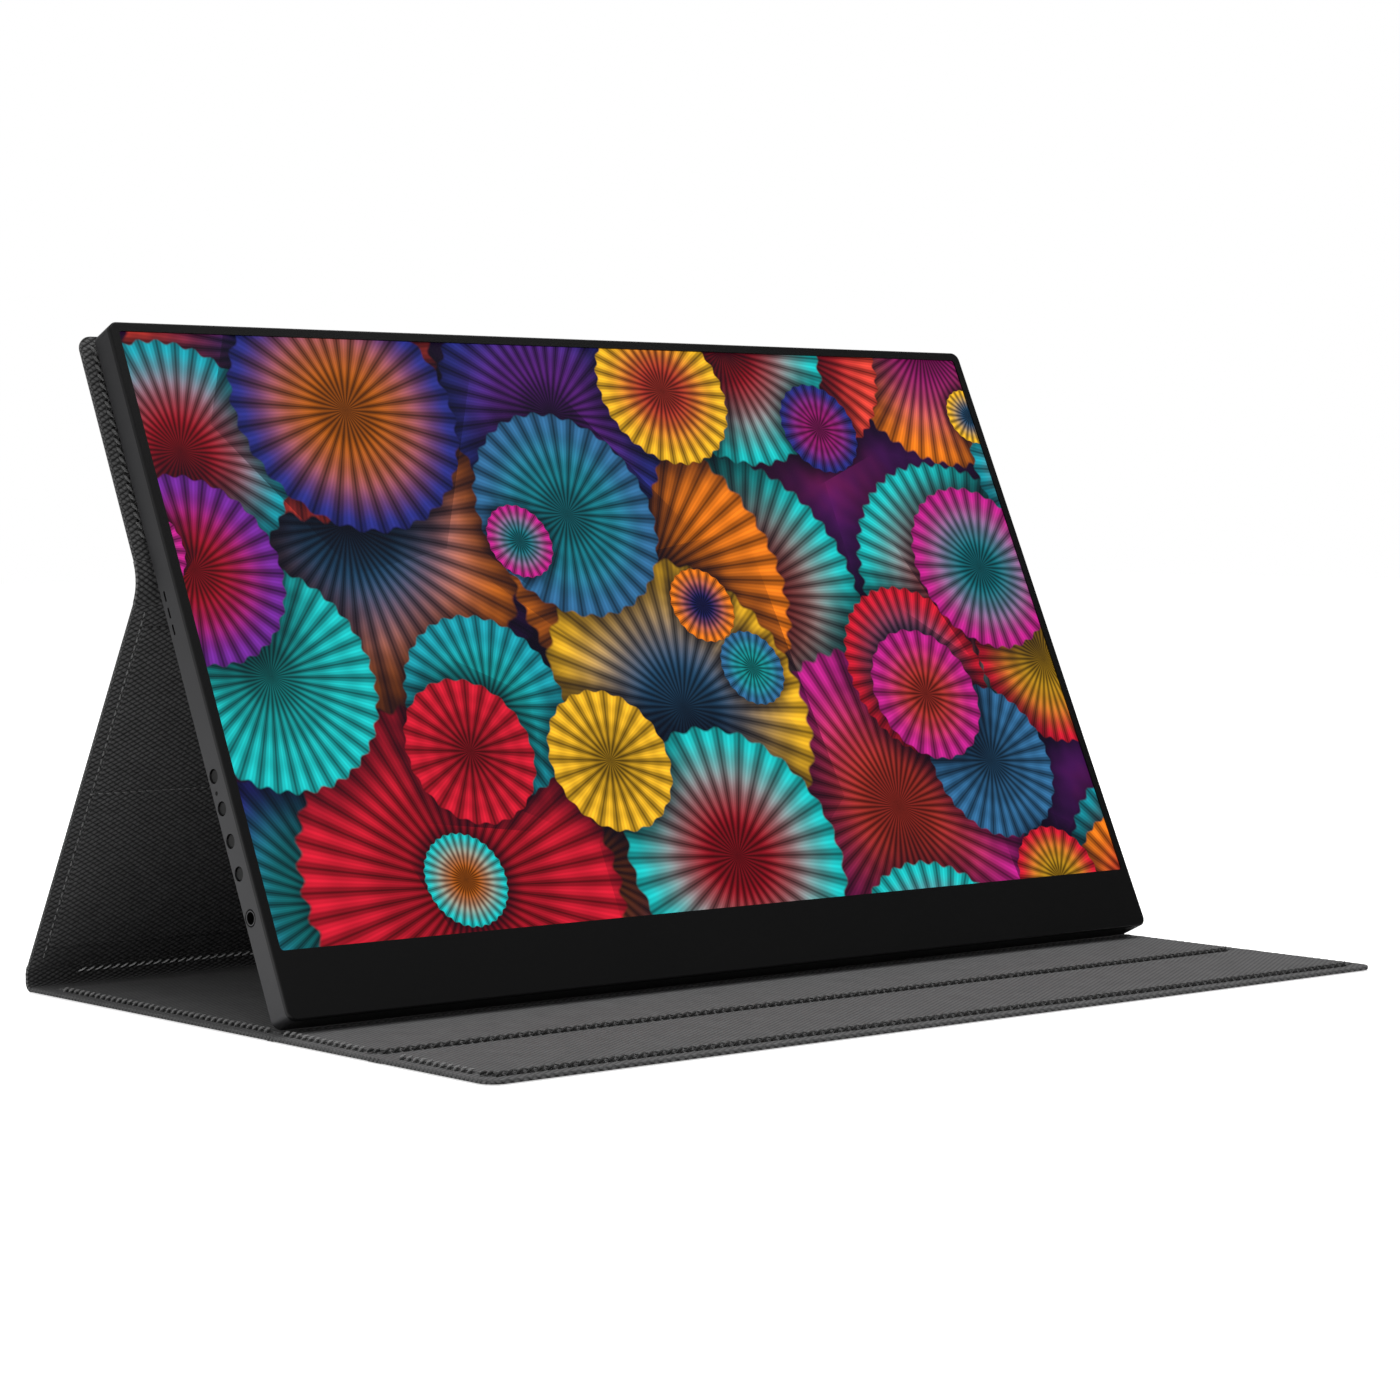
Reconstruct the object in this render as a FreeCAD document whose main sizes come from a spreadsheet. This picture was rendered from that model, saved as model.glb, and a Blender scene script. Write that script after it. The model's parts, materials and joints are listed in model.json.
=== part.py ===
"""Portable monitor with a folding fabric cover that props it up.

Millimetres. +X is to the right seen from the front, the screen faces -Y, +Z is up.
The origin lies on the table, midway along the width and the depth of the whole part.

The display's pieces are drawn in a frame of their own: its origin is the middle of the
housing's lower rear edge, and "depth" is counted from the rear face towards the screen.
Each cover panel is drawn flat, outer face down, with Y running away from its fold line.
"""
import FreeCAD
import Part
import Sketcher
import math
import os
import re
from FreeCAD import Vector

DRIVING = {
    # Screen and housing
    "screen_width": 344.2,
    "screen_height": 193.6,
    "bezel_side": 3.0,
    "bezel_top": 3.0,
    "chin": 20.4,
    "display_depth": 9.4,
    "bezel_depth": 1.5,
    "bezel_lip": 0.6,
    "housing_corner": 3.0,
    "window_corner": 1.2,
    "front_edge": 0.5,
    "rear_edge": 0.4,
    "housing_wall": 1.2,
    "back_plate": 0.8,
    "tilt": 25.3,
    # Screen stack
    "panel_margin": 1.0,
    "panel_clearance": 0.15,
    "diffuser": 0.3,
    "light_guide": 0.6,
    "reflector": 0.2,
    "tray_sheet": 0.4,
    "sheet_margin": 0.4,
    "sheet_clearance": 0.1,
    "light_bar": 2.0,
    # Posts and bosses inside the housing
    "post_width": 5.0,
    "post_spread": 120.0,
    "post_low": 100.0,
    "post_high": 170.0,
    "boss_width": 5.0,
    "screw_diameter": 2.0,
    "screw_head": 3.6,
    "screw_head_height": 1.2,
    "screw_clearance": 0.15,
    "screw_inset": 4.0,
    # Main board and the sockets on its right edge
    "main_board_width": 110.0,
    "main_board_height": 62.0,
    "main_board_thickness": 1.0,
    "main_board_bottom": 25.0,
    "main_board_lift": 0.8,
    "board_edge_gap": 1.5,
    "socket_length": 7.3,
    "socket_height": 3.2,
    "socket_shell": 0.35,
    "socket_recess": 0.3,
    "socket_clearance": 0.3,
    "socket_floor": 0.8,
    "tongue_length": 4.6,
    "tongue_thickness": 0.7,
    "tongue_margin": 0.9,
    "data_socket_width": 9.0,
    "data_socket_low": 58.0,
    "data_socket_pitch": 15.0,
    "video_socket_width": 11.4,
    "video_socket_centre": 38.0,
    # Side board with the keys and the headphone socket on its left edge
    "side_board_width": 16.0,
    "side_board_bottom": 26.0,
    "side_board_top": 88.0,
    "side_board_thickness": 0.8,
    "side_board_lift": 0.4,
    "side_line": 3.3,
    "key_low": 45.8,
    "key_pitch": 9.88,
    "key_diameter": 4.0,
    "key_clearance": 0.15,
    "key_recess": 0.4,
    "key_flange": 4.7,
    "key_flange_thickness": 0.6,
    "key_seat": 0.1,
    "key_travel": 0.4,
    "key_edge": 0.3,
    "switch_width": 4.0,
    "switch_length": 2.5,
    "switch_height": 2.6,
    "plunger_diameter": 1.4,
    "plunger_length": 0.6,
    "plunger_gap": 0.05,
    "lamp_diameter": 1.2,
    "lamp_length": 5.0,
    "lamp_clearance": 0.05,
    "jack_height": 32.5,
    "jack_bore": 3.7,
    "jack_collar": 5.0,
    "jack_bore_length": 11.0,
    "jack_body_length": 11.5,
    "jack_body_width": 6.0,
    "jack_body_height": 4.4,
    "jack_clearance": 0.1,
    # Speakers
    "speaker_height": 126.5,
    "speaker_length": 40.0,
    "speaker_width": 12.0,
    "speaker_thickness": 4.6,
    "speaker_mouth_depth": 2.0,
    "speaker_mouth_border": 1.2,
    "speaker_gap": 0.2,
    "slot_length": 3.4,
    "slot_width": 0.8,
    "slot_pitch": 5.24,
    "slot_depth": 2.4,
    # Timing board and ribbons
    "timing_board_width": 220.0,
    "timing_board_height": 11.0,
    "timing_board_bottom": 4.0,
    "timing_board_thickness": 0.8,
    "ribbon": 0.3,
    "panel_ribbon_width": 16.0,
    "panel_ribbon_inset": 27.6,
    "panel_ribbon_overlap": 6.0,
    "side_ribbon_width": 8.0,
    "side_ribbon_overlap": 6.0,
    "side_ribbon_height": 70.0,
    # Magnets that hold the cover to the housing
    "magnet_width": 24.0,
    "magnet_height": 12.0,
    "magnet_thickness": 1.5,
    "magnet_inner": 55.0,
    "magnet_inset": 23.9,
    "magnet_line": 190.0,
    # Cover
    "cover_overhang": 3.4,
    "skin": 0.7,
    "lining": 0.6,
    "board": 0.5,
    "upper_board": 2.6,
    "side_border": 5.5,
    "cover_top_drop": 0.5,
    "upper_length": 77.6,
    "spine_height": 6.4,
    "base_reach": 132.4,
    "mid_flap_length": 49.55,
    "front_flap_length": 50.75,
    "stand_offset": 3.5,
    "stand_clearance": 0.15,
    "groove_fold_half": 1.5,
    "front_fold_half": 3.0,
    "flat_fold_lift": 0.2,
    "top_bend": 13.0,
    "spine_bend": 6.0,
    "rear_bend": 3.0,
    "front_corner": 5.5,
    "upper_corner": 4.5,
    "rear_border": 9.0,
    "prop_border": 8.0,
    "upper_border": 5.0,
    "groove_border": 0.8,
    "flap_border": 2.2,
    "front_border": 6.5,
    # One overrun for every cut
    "overrun": 1.0,
}

DERIVED = {
    "display_width": "screen_width + 2 * bezel_side",
    "display_height": "screen_height + bezel_top + chin",
    "housing_depth": "display_depth - bezel_depth",
    "panel_thickness": "bezel_depth - bezel_lip",
    "screen_centre": "chin + screen_height / 2",
    "sheet_width": "screen_width + 2 * sheet_margin",
    "sheet_height": "screen_height + 2 * sheet_margin",
    "guide_depth": "housing_depth - diffuser - light_guide",
    "reflector_depth": "guide_depth - reflector",
    "tray_depth": "reflector_depth - tray_sheet",
    "tray_inner_width": "sheet_width + 2 * sheet_clearance",
    "tray_inner_height": "sheet_height + light_bar + 3 * sheet_clearance",
    "tray_centre": "screen_centre - (light_bar + sheet_clearance) / 2",
    "wall_inside": "display_width / 2 - housing_wall",
    "main_board_depth": "back_plate + main_board_lift",
    "main_board_face": "main_board_depth + main_board_thickness",
    "main_board_centre": "wall_inside - board_edge_gap - main_board_width / 2",
    "panel_ribbon_centre": "main_board_centre - main_board_width / 2 + panel_ribbon_inset",
    "side_board_depth": "back_plate + side_board_lift",
    "side_board_face": "side_board_depth + side_board_thickness",
    "side_board_left": "wall_inside - board_edge_gap",
    "side_board_height": "side_board_top - side_board_bottom",
    "key_inner": "wall_inside - key_seat - key_flange_thickness",
    "lamp_height": "key_low + (2 + 3) * key_pitch / 2",
    "plunger_tip": "key_inner - key_travel - plunger_gap",
    "timing_depth": "housing_depth - timing_board_thickness",
    "cover_width": "display_width + 2 * cover_overhang",
    "panel_total": "skin + board + lining",
    "upper_total": "skin + upper_board + lining",
    "fold_sheet": "skin + lining",
    "cover_depth": "base_reach + mid_flap_length + front_flap_length",
    "rear_y": "cover_depth / 2",
    "groove_y": "rear_y - base_reach",
    "flap_y": "groove_y - mid_flap_length",
    "front_y": "flap_y - front_flap_length",
    "stand_y": "groove_y + stand_offset",
    "stand_z": "panel_total + stand_clearance",
    "top_fold_height": "display_height - cover_top_drop - upper_length",
    "top_fold_y": "stand_y + upper_total * cos(tilt) + top_fold_height * sin(tilt)",
    "top_fold_z": "stand_z - upper_total * sin(tilt) + top_fold_height * cos(tilt)",
    "prop_run": "rear_y - top_fold_y",
    "prop_rise": "top_fold_z - spine_height",
    "prop_length": "sqrt(prop_run ^ 2 + prop_rise ^ 2)",
    "prop_lean": "atan2(prop_run; prop_rise) / 1 deg",
    "top_bend_angle": "tilt + prop_lean",
    "top_setback": "top_bend * tan(top_bend_angle / 2)",
    "spine_setback": "spine_bend * tan(prop_lean / 2)",
    "upper_angle": "90 - tilt",
    "prop_angle": "90 + prop_lean",
    "top_bend_y": "top_fold_y + top_setback * cos(prop_angle + 180) - top_bend * cos(prop_angle + 90)",
    "top_bend_z": "top_fold_z + top_setback * sin(prop_angle + 180) - top_bend * sin(prop_angle + 90)",
}

# Two directions or places closer than this count as the same
ALIKE = 1e-4

doc = FreeCAD.newDocument("portable_monitor")
sizes = doc.addObject("Spreadsheet::Sheet", "sizes")
for row, (alias, value) in enumerate({**DRIVING, **DERIVED}.items(), start=1):
    sizes.set(f"A{row}", alias)
    sizes.set(f"B{row}", f"={value}" if alias in DERIVED else str(value))
    sizes.setAlias(f"B{row}", alias)
doc.recompute()

sub_parts = []


def refer(text):
    """The expression with each size's name pointing at its cell in the sheet."""
    def point(match):
        word = match.group(0)
        return f"<<sizes>>.{word}" if word in DRIVING or word in DERIVED else word
    return re.sub(r"[a-z][a-z_]*", point, text)


def bind(item, prop, text):
    item.setExpression(prop, refer(text))


def new_body(label, y="0", z="0", angle="0"):
    """A sub-part whose frame is turned about X by angle, with its origin at y, z."""
    body = doc.addObject("PartDesign::Body", label)
    body.Label = label
    bind(body, "Placement", f"placement(vector(0; {y}; {z}); rotation(vector(1; 0; 0); {angle}))")
    sub_parts.append(body)
    return body


def display_body(label):
    return new_body(label, "stand_y", "stand_z", "-tilt")


def origin_feature(body, role):
    """The body's own origin plane or axis with this role."""
    return next(feature for feature in body.Origin.OriginFeatures if feature.Role == role)


def new_sketch(body, plane, across, up, out):
    """A sketch on one of the body's own origin planes, moved across, up and along its normal."""
    sketch = body.newObject("Sketcher::SketchObject", f"{body.Name}_sketch")
    sketch.AttachmentSupport = (origin_feature(body, plane), "")
    sketch.MapMode = "FlatFace"
    bind(sketch, "AttachmentOffset.Base.x", across)
    bind(sketch, "AttachmentOffset.Base.y", up)
    bind(sketch, "AttachmentOffset.Base.z", out)
    return sketch


def constrain(sketch, name, text, *where):
    """A named dimension of the sketch, bound to the sheet."""
    index = sketch.addConstraint(Sketcher.Constraint(*where))
    sketch.renameConstraint(index, name)
    bind(sketch, f"Constraints.{name}", text)


def rectangle(body, plane, width, height, across="0", up="0", out="0"):
    sketch = new_sketch(body, plane, across, up, out)
    corners = [Vector(-1, -1), Vector(1, -1), Vector(1, 1), Vector(-1, 1)]
    sides = [Part.LineSegment(a, b) for a, b in zip(corners, corners[1:] + corners[:1])]
    sketch.addGeometry(sides)
    for side in range(4):
        sketch.addConstraint(Sketcher.Constraint("Coincident", side, 2, (side + 1) % 4, 1))
    for side in (0, 2):
        sketch.addConstraint(Sketcher.Constraint("Horizontal", side))
        sketch.addConstraint(Sketcher.Constraint("Vertical", side + 1))
    sketch.addConstraint(Sketcher.Constraint("Symmetric", 0, 1, 1, 2, -1, 1))
    constrain(sketch, "across", width, "DistanceX", 0, 1, 0, 2, 2.0)
    constrain(sketch, "upward", height, "DistanceY", 1, 1, 1, 2, 2.0)
    return sketch


def circle(body, plane, diameter, across="0", up="0", out="0"):
    sketch = new_sketch(body, plane, across, up, out)
    sketch.addGeometry(Part.Circle(Vector(), Vector(0, 0, 1), 1))
    sketch.addConstraint(Sketcher.Constraint("Coincident", 0, 3, -1, 1))
    constrain(sketch, "across", diameter, "Diameter", 0, 2.0)
    return sketch


def slot(body, plane, length, width, across="0", up="0", out="0"):
    """A slot that stands along the sketch's upward direction, with round ends."""
    sketch = new_sketch(body, plane, across, up, out)
    up_axis = Vector(0, 0, 1)
    top = Part.ArcOfCircle(Part.Circle(Vector(0, 1), up_axis, 1), 0, math.pi)
    low = Part.ArcOfCircle(Part.Circle(Vector(0, -1), up_axis, 1), math.pi, math.tau)
    left = Part.LineSegment(Vector(-1, 1), Vector(-1, -1))
    right = Part.LineSegment(Vector(1, -1), Vector(1, 1))
    sketch.addGeometry([top, left, low, right])
    for first, second in ((0, 1), (1, 2), (2, 3), (3, 0)):
        sketch.addConstraint(Sketcher.Constraint("Tangent", first, 2, second, 1))
    sketch.addConstraint(Sketcher.Constraint("Vertical", 1))
    sketch.addConstraint(Sketcher.Constraint("Equal", 0, 2))
    sketch.addConstraint(Sketcher.Constraint("Symmetric", 0, 3, 2, 3, -1, 1))
    constrain(sketch, "radius", f"({width}) / 2", "Radius", 0, 1.0)
    constrain(sketch, "centres", f"({length}) - ({width})", "DistanceY", 2, 3, 0, 3, 2.0)
    return sketch


def pad(body, sketch, length, backwards=False):
    feature = body.newObject("PartDesign::Pad", f"{body.Name}_pad")
    feature.Profile = sketch
    feature.Reversed = backwards
    bind(feature, "Length", length)
    doc.recompute()
    return feature


def pocket(body, sketch, length, backwards=False):
    """A cut along the sketch's normal reversed, or along it where backwards is set."""
    before = body.Shape.Volume
    feature = body.newObject("PartDesign::Pocket", f"{body.Name}_pocket")
    feature.Profile = sketch
    feature.Reversed = backwards
    bind(feature, "Length", length)
    doc.recompute()
    if body.Shape.Volume >= before:
        raise RuntimeError(f"{body.Label}: a cut removed nothing")


def dress_edges(body, kind, prop, size, chosen):
    """A fillet or chamfer on the edges that the function chosen picks from the body's shape so far."""
    tip = body.Tip
    names = [f"Edge{number}" for number, edge in enumerate(tip.Shape.Edges, start=1) if chosen(edge)]
    feature = body.newObject(kind, f"{body.Name}_edges")
    feature.Base = (tip, names)
    bind(feature, prop, size)
    doc.recompute()


def round_edges(body, radius, chosen):
    dress_edges(body, "PartDesign::Fillet", "Radius", radius, chosen)


def bevel_edges(body, size, chosen):
    dress_edges(body, "PartDesign::Chamfer", "Size", size, chosen)


def straight_along(edge, axis):
    """True for a straight edge along the axis, given as 0, 1 or 2 for X, Y or Z."""
    if not isinstance(edge.Curve, Part.Line):
        return False
    return abs(abs(edge.Curve.Direction[axis]) - 1) < ALIKE


def lies_at(edge, axis, place):
    """True for an edge that lies in the plane at this place along the axis."""
    box = edge.BoundBox
    low = (box.XMin, box.YMin, box.ZMin)[axis]
    high = (box.XMax, box.YMax, box.ZMax)[axis]
    return max(abs(low - place), abs(high - place)) < ALIKE


def sheet_layer(label, width, height, centre, depth, thickness):
    """A flat layer of the display, centred on X."""
    body = display_body(label)
    pad(body, rectangle(body, "XZ_Plane", width, height, up=centre, out=depth), thickness)
    return body


def rounded_slab(label, depth, thickness):
    """The display's rounded outline as a slab."""
    body = display_body(label)
    outline = rectangle(
        body, "XZ_Plane", "display_width", "display_height", up="display_height / 2", out=depth,
    )
    pad(body, outline, thickness)
    round_edges(body, "housing_corner", lambda edge: straight_along(edge, 1))
    return body


def side_wall_cut(body, sketch, right):
    """Cut through the housing's right or left wall."""
    pocket(body, sketch, "housing_wall + 2 * overrun", backwards=not right)


def speaker_slots(body, right):
    """Three sound slots in one side wall."""
    side = "display_width / 2 + overrun" if right else "-display_width / 2 - overrun"
    for step in (-1, 0, 1):
        height = f"speaker_height + {step} * slot_pitch"
        mouth = slot(body, "YZ_Plane", "slot_length", "slot_width", "-slot_depth", height, side)
        side_wall_cut(body, mouth, right)


DATA_SOCKET_HEIGHTS = ("data_socket_low", "data_socket_low + data_socket_pitch")
KEY_HEIGHTS = [f"key_low + {number} * key_pitch" for number in range(4)]
SCREW_PLACES = {
    "main_board": [
        (f"main_board_centre + {side} * (main_board_width / 2 - screw_inset)", height)
        for side in (-1, 1)
        for height in (
            "main_board_bottom + screw_inset",
            "main_board_bottom + main_board_height - screw_inset",
        )
    ],
    "side_board": [
        ("-side_board_left + side_board_width - screw_inset", height)
        for height in ("side_board_bottom + side_board_height / 2", "side_board_top - screw_inset")
    ],
}


def make_rear_housing():
    body = rounded_slab("rear_housing", "0", "housing_depth")
    bevel_edges(body, "rear_edge", lambda edge: lies_at(edge, 1, 0))
    hollow = rectangle(
        body, "XZ_Plane", "2 * wall_inside", "display_height - 2 * housing_wall",
        up="display_height / 2", out="housing_depth",
    )
    pocket(body, hollow, "housing_depth - back_plate")
    for side in (-1, 1):
        for height in ("post_low", "post_high"):
            post = rectangle(
                body, "XZ_Plane", "post_width", "post_width", f"{side} * post_spread", height, "back_plate",
            )
            pad(body, post, "tray_depth - back_plate")
    for board, places in SCREW_PLACES.items():
        for across, height in places:
            boss = rectangle(body, "XZ_Plane", "boss_width", "boss_width", across, height, "back_plate")
            pad(body, boss, f"{board}_lift")
            hole_size = "screw_diameter + 2 * screw_clearance"
            hole = circle(body, "XZ_Plane", hole_size, across, height, f"{board}_depth")
            pocket(body, hole, f"{board}_lift + screw_clearance")
    left = "-display_width / 2 - overrun"
    for height in KEY_HEIGHTS:
        hole = circle(body, "YZ_Plane", "key_diameter + 2 * key_clearance", "-side_line", height, left)
        side_wall_cut(body, hole, right=False)
    lamp_size = "lamp_diameter + 2 * lamp_clearance"
    lamp = circle(body, "YZ_Plane", lamp_size, "-side_board_face - lamp_diameter / 2", "lamp_height", left)
    side_wall_cut(body, lamp, right=False)
    jack = circle(body, "YZ_Plane", "jack_collar + 2 * jack_clearance", "-side_line", "jack_height", left)
    side_wall_cut(body, jack, right=False)
    right = "display_width / 2 + overrun"
    middle = "-main_board_face - socket_height / 2"
    sockets = [("data_socket_width", height) for height in DATA_SOCKET_HEIGHTS]
    for width, height in sockets + [("video_socket_width", "video_socket_centre")]:
        opening = slot(
            body, "YZ_Plane", f"{width} + 2 * socket_clearance", "socket_height + 2 * socket_clearance",
            middle, height, right,
        )
        side_wall_cut(body, opening, right=True)
    speaker_slots(body, right=False)
    speaker_slots(body, right=True)


def make_front_bezel():
    body = rounded_slab("front_bezel", "housing_depth", "bezel_depth")
    front = -sizes.display_depth
    round_edges(body, "front_edge", lambda edge: lies_at(edge, 1, front))
    window = rectangle(
        body, "XZ_Plane", "screen_width", "screen_height", up="screen_centre", out="display_depth + overrun",
    )
    pocket(body, window, "bezel_depth + 2 * overrun")
    half_window = sizes.screen_width / 2

    def window_corner(edge):
        return straight_along(edge, 1) and abs(abs(edge.BoundBox.Center.x) - half_window) < ALIKE
    round_edges(body, "window_corner", window_corner)
    seat_size = "2 * panel_margin + 2 * panel_clearance"
    seat = rectangle(
        body, "XZ_Plane", f"screen_width + {seat_size}", f"screen_height + {seat_size}",
        up="screen_centre", out="housing_depth",
    )
    pocket(body, seat, "panel_thickness", backwards=True)


def make_screen_stack():
    """Liquid crystal cell, diffuser, light guide, reflector, tray and light bar."""
    sheet_layer(
        "lcd_panel", "screen_width + 2 * panel_margin", "screen_height + 2 * panel_margin",
        "screen_centre", "housing_depth", "panel_thickness",
    )
    for label, depth, thickness in (
        ("diffuser_sheet", "housing_depth - diffuser", "diffuser"),
        ("light_guide", "guide_depth", "light_guide"),
        ("reflector_sheet", "reflector_depth", "reflector"),
    ):
        sheet_layer(label, "sheet_width", "sheet_height", "screen_centre", depth, thickness)
    tray = sheet_layer(
        "backlight_tray", "tray_inner_width + 2 * tray_sheet", "tray_inner_height + 2 * tray_sheet",
        "tray_centre", "tray_depth", "housing_depth - tray_depth",
    )
    inside = rectangle(
        tray, "XZ_Plane", "tray_inner_width", "tray_inner_height", up="tray_centre", out="housing_depth",
    )
    pocket(tray, inside, "housing_depth - reflector_depth")
    sheet_layer(
        "light_bar", "screen_width", "light_bar",
        "tray_centre - tray_inner_height / 2 + sheet_clearance + light_bar / 2",
        "reflector_depth", "reflector + light_guide",
    )


def screw_holes(body, board):
    for across, height in SCREW_PLACES[board]:
        hole_size = "screw_diameter + 2 * screw_clearance"
        hole = circle(body, "XZ_Plane", hole_size, across, height, f"{board}_face + overrun")
        pocket(body, hole, f"{board}_thickness + 2 * overrun")


def make_main_board():
    body = display_body("main_board")
    outline = rectangle(
        body, "XZ_Plane", "main_board_width", "main_board_height", "main_board_centre",
        "main_board_bottom + main_board_height / 2", "main_board_depth",
    )
    pad(body, outline, "main_board_thickness")
    screw_holes(body, "main_board")


def make_socket(label, width, heights):
    """Sockets on the main board's right edge: a shell with a tongue in it."""
    body = display_body(label)
    mouth = "display_width / 2 - socket_recess"
    middle = "-main_board_face - socket_height / 2"
    for height in heights:
        outer = slot(body, "YZ_Plane", width, "socket_height", middle, height, f"{mouth} - socket_length")
        pad(body, outer, "socket_length")
        inner = slot(
            body, "YZ_Plane", f"{width} - 2 * socket_shell", "socket_height - 2 * socket_shell",
            middle, height, mouth,
        )
        pocket(body, inner, "socket_length - socket_floor")
        tongue = rectangle(
            body, "YZ_Plane", "tongue_thickness", f"{width} - 2 * tongue_margin",
            middle, height, f"{mouth} - socket_length + socket_floor",
        )
        pad(body, tongue, "tongue_length")


def make_side_board():
    body = display_body("side_board")
    outline = rectangle(
        body, "XZ_Plane", "side_board_width", "side_board_height", "-side_board_left + side_board_width / 2",
        "side_board_bottom + side_board_height / 2", "side_board_depth",
    )
    pad(body, outline, "side_board_thickness")
    screw_holes(body, "side_board")
    notch_length = "jack_body_length + housing_wall + jack_clearance"
    notch = rectangle(
        body, "XZ_Plane", notch_length, "jack_body_width + 2 * jack_clearance",
        f"-wall_inside - housing_wall + ({notch_length}) / 2", "jack_height", "side_board_face + overrun",
    )
    pocket(body, notch, "side_board_thickness + 2 * overrun")


def make_side_switches():
    """One push switch behind each key, with its plunger towards the wall."""
    body = display_body("side_switches")
    for height in KEY_HEIGHTS:
        block = rectangle(
            body, "YZ_Plane", "switch_height", "switch_width",
            "-side_board_face - switch_height / 2", height, "-plunger_tip + plunger_length",
        )
        pad(body, block, "switch_length")
        plunger = circle(body, "YZ_Plane", "plunger_diameter", "-side_line", height, "-plunger_tip")
        pad(body, plunger, "plunger_length")


def make_key(label, height):
    """A round key, held behind the wall by its flange."""
    body = display_body(label)
    cap_face = "-display_width / 2 + key_recess"
    cap = circle(body, "YZ_Plane", "key_diameter", "-side_line", height, cap_face)
    pad(body, cap, "display_width / 2 - key_recess - key_inner")
    face_x = sizes.key_recess - sizes.display_width / 2
    bevel_edges(body, "key_edge", lambda edge: lies_at(edge, 0, face_x))
    flange = circle(body, "YZ_Plane", "key_flange", "-side_line", height, "-key_inner")
    pad(body, flange, "key_flange_thickness", backwards=True)


def make_lamp():
    body = display_body("led_light_pipe")
    rod = circle(
        body, "YZ_Plane", "lamp_diameter", "-side_board_face - lamp_diameter / 2", "lamp_height",
        "-display_width / 2",
    )
    pad(body, rod, "lamp_length")


def make_headphone_jack():
    body = display_body("headphone_jack")
    block = rectangle(
        body, "YZ_Plane", "jack_body_height", "jack_body_width", "-side_line", "jack_height", "-wall_inside",
    )
    pad(body, block, "jack_body_length")
    collar = circle(body, "YZ_Plane", "jack_collar", "-side_line", "jack_height", "-display_width / 2")
    pad(body, collar, "housing_wall")
    bore = circle(body, "YZ_Plane", "jack_bore", "-side_line", "jack_height", "-display_width / 2")
    pocket(body, bore, "jack_bore_length", backwards=True)


def make_speaker(label, side):
    """A flat speaker on the back plate, its mouth at the slots in the side wall."""
    body = display_body(label)
    middle = f"{side} * (wall_inside - speaker_gap - speaker_width / 2)"
    box = rectangle(
        body, "XZ_Plane", "speaker_width", "speaker_length", middle, "speaker_height", "back_plate",
    )
    pad(body, box, "speaker_thickness")
    mouth = rectangle(
        body, "YZ_Plane", "speaker_thickness - 2 * speaker_mouth_border",
        "speaker_length - 2 * speaker_mouth_border", "-back_plate - speaker_thickness / 2", "speaker_height",
        f"{side} * (wall_inside - speaker_gap)",
    )
    pocket(body, mouth, "speaker_mouth_depth", backwards=side < 0)


def make_timing_board():
    sheet_layer(
        "timing_board", "timing_board_width", "timing_board_height",
        "timing_board_bottom + timing_board_height / 2", "timing_depth", "timing_board_thickness",
    )


def make_panel_ribbon():
    """The ribbon that climbs from the main board to the timing board."""
    body = display_body("panel_ribbon")
    near = "main_board_face"
    far = "timing_depth - ribbon"
    top = "main_board_bottom + panel_ribbon_overlap"
    bottom = "timing_board_bottom + timing_board_height - panel_ribbon_overlap"
    route = [
        (near, top),
        (near, "main_board_bottom"),
        (far, "timing_board_bottom + timing_board_height"),
        (far, bottom),
    ]
    outline = route + [(f"{depth} + ribbon", height) for depth, height in reversed(route)]
    sketch = new_sketch(body, "YZ_Plane", "0", "0", "panel_ribbon_centre - panel_ribbon_width / 2")
    guesses = [Vector(-number, number % 3) for number in range(len(outline))]
    count = len(outline)
    sketch.addGeometry([Part.LineSegment(guesses[n], guesses[(n + 1) % count]) for n in range(count)])
    for number, (depth, height) in enumerate(outline):
        sketch.addConstraint(Sketcher.Constraint("Coincident", number, 2, (number + 1) % count, 1))
        constrain(sketch, f"depth_{number}", f"-({depth})", "DistanceX", -1, 1, number, 1, -1.0)
        constrain(sketch, f"height_{number}", height, "DistanceY", -1, 1, number, 1, 1.0)
    pad(body, sketch, "panel_ribbon_width")


def make_side_ribbon():
    """The ribbon along the back plate from the side board to the main board."""
    body = display_body("side_ribbon")
    start = "-side_board_left + side_board_width - side_ribbon_overlap"
    end = "main_board_centre - main_board_width / 2 + side_ribbon_overlap"
    strip = rectangle(
        body, "XZ_Plane", f"({end}) - ({start})", "side_ribbon_width",
        f"({end} + ({start})) / 2", "side_ribbon_height", "back_plate",
    )
    pad(body, strip, "ribbon")


def make_board_screws():
    body = display_body("board_screws")
    for board, places in SCREW_PLACES.items():
        for across, height in places:
            head = circle(body, "XZ_Plane", "screw_head", across, height, f"{board}_face")
            pad(body, head, "screw_head_height")
            shank = circle(body, "XZ_Plane", "screw_diameter", across, height, f"{board}_face")
            pad(body, shank, f"{board}_thickness + {board}_lift", backwards=True)


MAGNET_SPREADS = ("magnet_inset - wall_inside", "-magnet_inner", "magnet_inner", "wall_inside - magnet_inset")


def make_housing_magnets():
    body = display_body("housing_magnets")
    for across in MAGNET_SPREADS:
        block = rectangle(
            body, "XZ_Plane", "magnet_width", "magnet_height", across, "magnet_line", "back_plate",
        )
        pad(body, block, "magnet_thickness")


UPPER_FRAME = ("top_fold_y", "top_fold_z", "upper_angle")
UPPER_MAGNET_LINE = "magnet_line - top_fold_height"


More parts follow.
